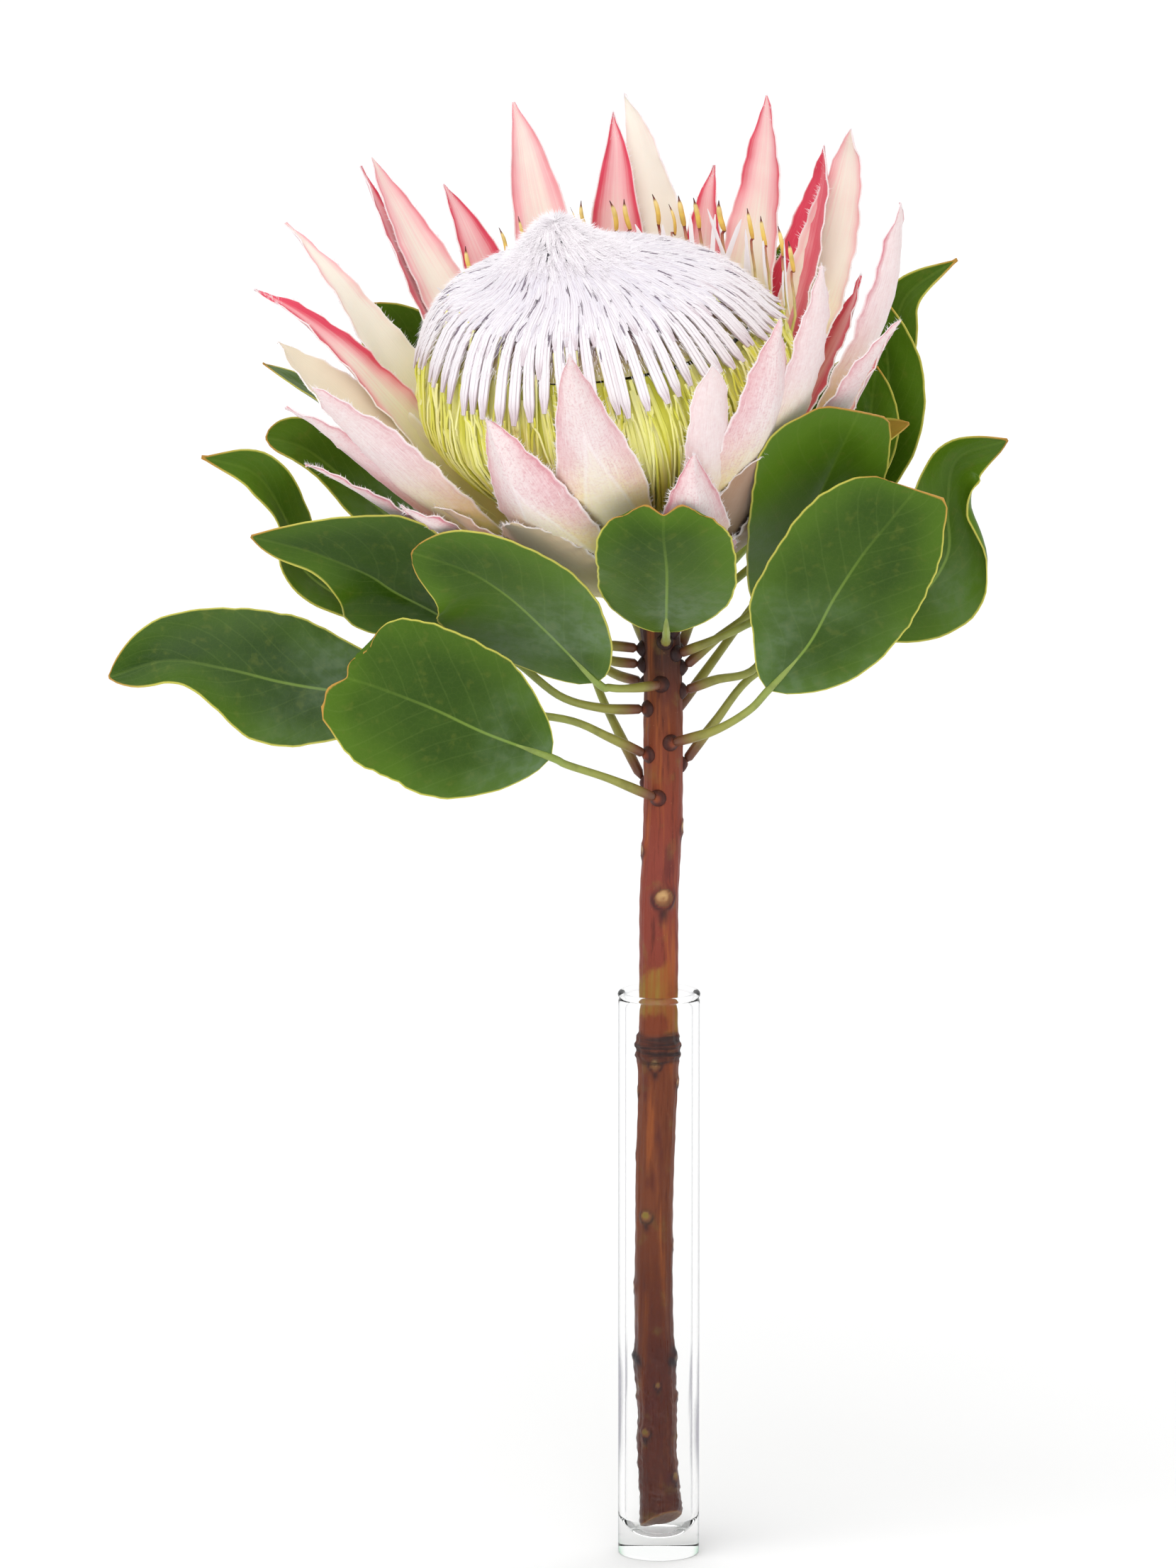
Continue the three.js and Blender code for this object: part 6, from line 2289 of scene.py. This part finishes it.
@dataclass
class GreenStyles:
    """The lime styles below the wool, and those that have opened behind the dome."""

    outline: Sequence[tuple[float, float]] = (
        (17, 26.6), (24, 32), (33.5, 40), (41.5, 48), (48, 56), (54.6, 67), (56.3, 75), (55.2, 83),
        (53.0, 91), (50.2, 99.5),
    )
    core_fold: float = 0.6
    core_depths: tuple[float, float] = (1.0, 2.4)
    core_flutes: int = 36
    sag: float = 13.0
    # Layers of styles: how many, their height over the outline, and half their thickness
    layers: Sequence[tuple[int, float, float]] = ((110, -0.9, 1.0), (150, -0.2, 0.85))
    # Strips that end below this length have three pale threads each, the others one
    lower_row: float = 60.0
    # Opened styles: turn, height of the tip, half thickness of the end
    opened_at: Sequence[Triple] = (
        (115.6, 105.2, 0.6), (109.4, 106.6, 0.55), (94.6, 105.0, 0.25), (91.2, 106.3, 0.7),
        (83.4, 104.7, 0.8), (79.3, 104.6, 0.8), (70.8, 105.5, 0.75), (62.9, 104.9, 0.85),
        (58.1, 104.4, 0.8), (49.2, 104.5, 0.9), (37.7, 104.2, 0.75), (31.4, 103.3, 0.75),
        (127.0, 104.0, 0.7), (101.0, 104.5, 0.7), (20.0, 104.0, 0.7), (9.0, 103.5, 0.7), (66.5, 102.0, 0.5),
    )
    opened_reach: float = 62.6
    husk_turns: Sequence[float] = (28, 36, 42, 47, 52, 55, 60, 68, 74, 86, 98, 106, 118, 8, 16, 130)

    def __post_init__(self) -> None:
        """Measures the outline."""
        self.profile = Profile(self.outline, 400, by_length=False)

    def on(self, share: Array, turn: Array, lift: Array) -> Array:
        """Points over the outline of the styles.

        Args:
            share: shares of its run from the cup.
            turn: turns in degrees.
            lift: heights over it.

        Returns:
            The points, in millimetres.
        """
        r, h, nr, nh = self.profile.at(share)
        sag = self.sag * rising(share, 0.6, 1.0) * (0.5 + 0.5 * np.cos(radians(turn - WoolDome.sag_turn)))
        return HEAD.at(r + nr * lift, turn, h + nh * lift - sag)

    def core(self) -> Piece:
        """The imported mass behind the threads.

        Returns:
            The mass.
        """
        obj, u, v = sheet_of("style_core", 108, 40)
        out = v <= self.core_fold
        share = np.where(out, v / self.core_fold, (1 - v) / (1 - self.core_fold))
        flutes = np.where(out, 0.45 * np.cos(TURN * self.core_flutes * u + 3 * v), 0)
        place(obj, self.on(share, u * 360, flutes - np.where(out, *self.core_depths)))
        note(obj, along=share, seed=0.13 + 0.1 * np.round(u * self.core_flutes) / self.core_flutes)
        close_up(obj, 0.01)
        smooth(obj)
        return obj

    @staticmethod
    def thread(rod: Rod, middle: Array, radii: Array, **notes: Array) -> None:
        """Lays a round thread whose wide side faces away from the head's axis."""
        rod.lay(middle, unit(HEAD.from_axis(middle)[1]), radii, radii, **notes)

    def threads(self, random: np.random.Generator) -> Piece:
        """The two layers of styles that fan up from the cup to the wool.

        Args:
            random: what scatters them.

        Returns:
            The piece.
        """
        rod = Rod(5, 8)
        k = rod.steps
        for count, lift, radius in self.layers:
            for n in range(count):
                turn = 360 / count * (n + random.uniform(-0.35, 0.35))
                top = random.uniform(0.93, 1.0)
                turns = turn + random.normal(0, 1.8) * k ** 1.3 + random.normal(0, 0.4) * np.sin(TURN * k)
                middle = self.on(k * top, turns, lift + random.uniform(-0.3, 0.35) * np.sin(np.pi * k))
                radii = radius * mix(0.5, 1.1, k) * random.uniform(0.8, 1.15)
                self.thread(rod, middle, radii, seed=random.random())
        return rod.bundle.made("green_styles")

    def danglers(self, random: np.random.Generator, wool: WoolDome, ends: Ends) -> Piece:
        """Thin pale threads that leave the strips' lower ends and run down over the styles.

        Args:
            random: what scatters them.
            wool: the dome.
            ends: the strips' lower ends.

        Returns:
            The piece.
        """
        rod = Rod(4, 10)
        k = rod.steps
        for end, turn in [pair for pair in ends for _ in range(3 if pair[0] > self.lower_row else 1)]:
            turn = turn + random.uniform(-1.5, 1.5)
            start = wool.on(np.array([end - 1.5, end + 1.5]), np.full(2, turn), np.array([0.0, -0.2]))
            low = random.uniform(0.2, 0.6) if end > self.lower_row else random.uniform(0.4, 0.8)
            share = mix(0.8, low, np.array([0.0, 0.33, 0.66, 1.0]))
            turns = turn + random.normal(0, 2.5) * np.array([0.25, 0.5, 0.75, 1.0])
            path = self.on(share, turns, np.array([1.5, 1.3, 1.0, 0.6]))
            middle, _ = curve(np.vstack([start, path]), k)
            along = mix(1.0, low, k)[rod.ring]
            self.thread(rod, middle, 0.43 * mix(1.0, 0.8, k), seed=random.random(), along=along)
        return rod.bundle.made("pale_threads")

    def opened(self, random: np.random.Generator) -> tuple[Piece, Piece]:
        """Styles that stand up behind the dome.

        Args:
            random: what scatters them.

        Returns:
            Their dark red stalks, and their yellow ends with dark tips.
        """
        stalks, buds = Rod(6, 8), Rod(6, 8)
        k, reach = stalks.steps, self.opened_reach
        shape = np.interp(k, (0, 0.1, 0.25, 0.72, 0.84, 1.0), (0.6, 0.9, 1.0, 0.95, 0.4, 0.15))
        for turn, top, half in self.opened_at:
            line, _ = curve(((50.5, 64), (59.6, 77), (61.6, 92), (reach, top - 10.0)), k)
            turns = turn + random.uniform(-1.2, 1.2) * np.sin(np.pi * k)
            radii = half * mix(0.75, 0.5, k) + 0.14 * hump(k, 1, 0.08)
            self.thread(stalks, HEAD.at(line[:, 0], turns, line[:, 1]), radii, seed=random.random())
            turns = turn + random.uniform(-0.8, 0.8) * np.sin(np.pi * k)
            middle = HEAD.at(reach + 0.4 * k, turns, top - 10.4 + 10.4 * k)
            self.thread(buds, middle, half * shape, seed=random.random())
        return stalks.bundle.made("opened_stalks"), buds.bundle.made("opened_ends")

    def husks(self, random: np.random.Generator) -> Piece:
        """White splayed husks between the opened styles.

        Args:
            random: what scatters them.

        Returns:
            The piece.
        """
        rod = Rod(5, 6)
        k = rod.steps
        wide = np.interp(k, (0, 0.3, 0.85, 1), (0.5, 1, 0.8, 0.15))
        for turn in self.husk_turns:
            turn = turn + random.uniform(-2, 2)
            r = 58.5 + random.uniform(1.5, 6.0) * k ** 1.4
            h = 80 + random.uniform(12, 24) * k
            middle = HEAD.at(r, turn + random.normal(0, 4.5) * k, h)
            rod.lay(middle, HEAD.outward(turn), wide, wide * 0.35, seed=random.random())
        return rod.bundle.made("white_husks")

    def build(self, thread: Material, stalk: Material, bud: Material, wool: Material, dome: WoolDome,
              ends: Ends) -> None:
        """Builds and dresses the styles.

        Args:
            thread: the styles' material.
            stalk: the opened styles' material.
            bud: their ends' material.
            wool: the husks' material.
            dome: the dome.
            ends: the strips' lower ends.
        """
        random = np.random.default_rng(11)
        finish_piece(self.threads(random), "style", ["florets_green"], thread)
        finish_piece(self.core(), "style", ["florets_green"], thread)
        finish_piece(self.danglers(random, dome, ends), "style", [], thread)
        stalks, buds = self.opened(random)
        finish_piece(stalks, "style", [], stalk)
        finish_piece(buds, "style", [], bud)
        finish_piece(self.husks(random), "wool", [], wool)


@dataclass
class Studio:
    """A white floor, soft light and the camera."""

    target: Triple = (-0.02175, 0.0, 0.2416)
    elevation: float = 11.7
    distance: float = 5.0
    lens: float = 376.0
    sensor: float = 36.0
    floor_radius: float = 14.0
    floor_tones: tuple[Triple, Triple] = ((0.93, 0.93, 0.93), (0.95, 0.95, 0.95))
    world_strength: float = 0.62
    seen_strength: float = 1.0
    # Lights: name, tilt from overhead, turn from the right (270 is the front), spread, strength
    lights: Sequence[tuple[str, float, float, float, float]] = (
        ("key_light", 40, 235, 60, 1.35), ("fill_light", 72, 280, 70, 0.55), ("back_light", 40, 70, 60, 0.6),
    )

    def floor(self) -> None:
        """A wide white floor."""
        clear_selection()
        bpy.ops.mesh.primitive_circle_add(vertices=96, radius=self.floor_radius, fill_type="NGON")
        obj = bpy.context.object
        obj.name = "white_floor"
        g = Skin("floor_white")
        colour = g.blend(g.noise(g.place(), 0.5, 1), *self.floor_tones)
        dress(obj, g.finished({"Base Color": colour, "Roughness": 0.9}))

    def light(self, name: str, tilt: float, turn: float, spread: float, strength: float) -> None:
        """Adds a wide far light.

        Args:
            name: its name.
            tilt: how far it stands from overhead, in degrees.
            turn: its turn round the object, in degrees.
            spread: how wide it looks, in degrees.
            strength: its strength.
        """
        clear_selection()
        bpy.ops.object.light_add(type="SUN", location=(0, 0, 2))
        obj = bpy.context.object
        obj.name = name
        obj.data.angle = math.radians(spread)
        obj.data.energy = strength
        obj.rotation_euler = (0, math.radians(tilt), math.radians(turn))

    def camera(self) -> None:
        """The camera at the photograph's angle."""
        tilt = math.radians(self.elevation)
        eye = np.array(self.target) + self.distance * np.array([0, -math.cos(tilt), math.sin(tilt)])
        bpy.ops.object.camera_add(location=eye, rotation=(math.pi / 2 - tilt, 0, 0))
        camera = bpy.context.object
        camera.data.lens = self.lens
        camera.data.sensor_width = self.sensor
        bpy.context.scene.camera = camera

    def sky(self) -> None:
        """An even light from all round, which the camera and the glass see as white."""
        world = bpy.data.worlds.new("studio")
        world.use_nodes = True
        background = world.node_tree.nodes["Background"]
        background.inputs["Color"].default_value = (1, 1, 1, 1)
        g = Graph(world.node_tree)
        path = g.node("LightPath").outputs
        seen = g.math("MAXIMUM", path["Is Camera Ray"], path["Is Transmission Ray"])
        seen = g.times(seen, g.math("LESS_THAN", path["Diffuse Depth"], 0.5))
        g.feed(background.inputs["Strength"], g.between(seen, 0, 1, self.world_strength, self.seen_strength))
        bpy.context.scene.world = world

    def build(self) -> None:
        """Sets the stage."""
        bpy.context.scene.view_settings.view_transform = "Standard"
        self.sky()
        self.floor()
        for light in self.lights:
            self.light(*light)
        self.camera()


def main() -> None:
    """Builds the flower from the tube up, then the studio."""
    logging.basicConfig(level=logging.INFO, format="%(message)s")
    groups = Groups()
    down = DownFinish().made()
    GlassTube().build(GlassFinish().made())
    Stem().build(BarkFinish().made(groups), LEAVES)
    stalk = PlainPlantFinish("leaf_stalk", (
        (0.0, tint(84, 40, 32)), (0.035, tint(120, 76, 48)), (0.09, tint(150, 146, 66)),
        (0.25, tint(152, 160, 76)), (0.45, tint(138, 158, 70)), (0.75, tint(126, 154, 62)),
        (1.0, tint(92, 124, 44))), 0.42).made(groups)
    Foliage().build(LeafFinish().made(groups), stalk)
    cup = PlainPlantFinish("cup_skin", (
        (0.0, tint(120, 88, 64)), (0.4, tint(168, 134, 92)), (0.75, tint(206, 186, 128)),
        (1.0, tint(214, 196, 132))), 0.7).made(groups)
    Involucre().build(BractFinish(), down, cup, groups)
    dome = WoolDome()
    ends = dome.build(WoolFinish().made(groups), WoolCoreFinish().made(), down)
    red = PlainPlantFinish("style_stalk", (
        (0.0, tint(206, 204, 80)), (0.45, tint(222, 206, 140)), (0.68, tint(198, 134, 104)),
        (0.84, tint(146, 58, 50)), (1.0, tint(112, 34, 32)))).made(groups)
    bud = PlainPlantFinish("style_end", (
        (0.0, tint(120, 44, 34)), (0.06, tint(232, 184, 84)), (0.4, tint(252, 216, 104)),
        (0.78, tint(252, 226, 150)), (0.86, tint(120, 52, 36)), (1.0, tint(60, 24, 22)))).made(groups)
    GreenStyles().build(ThreadFinish().made(), red, bud, down, dome, ends)
    Studio().build()


if __name__ == "__main__":
    main()
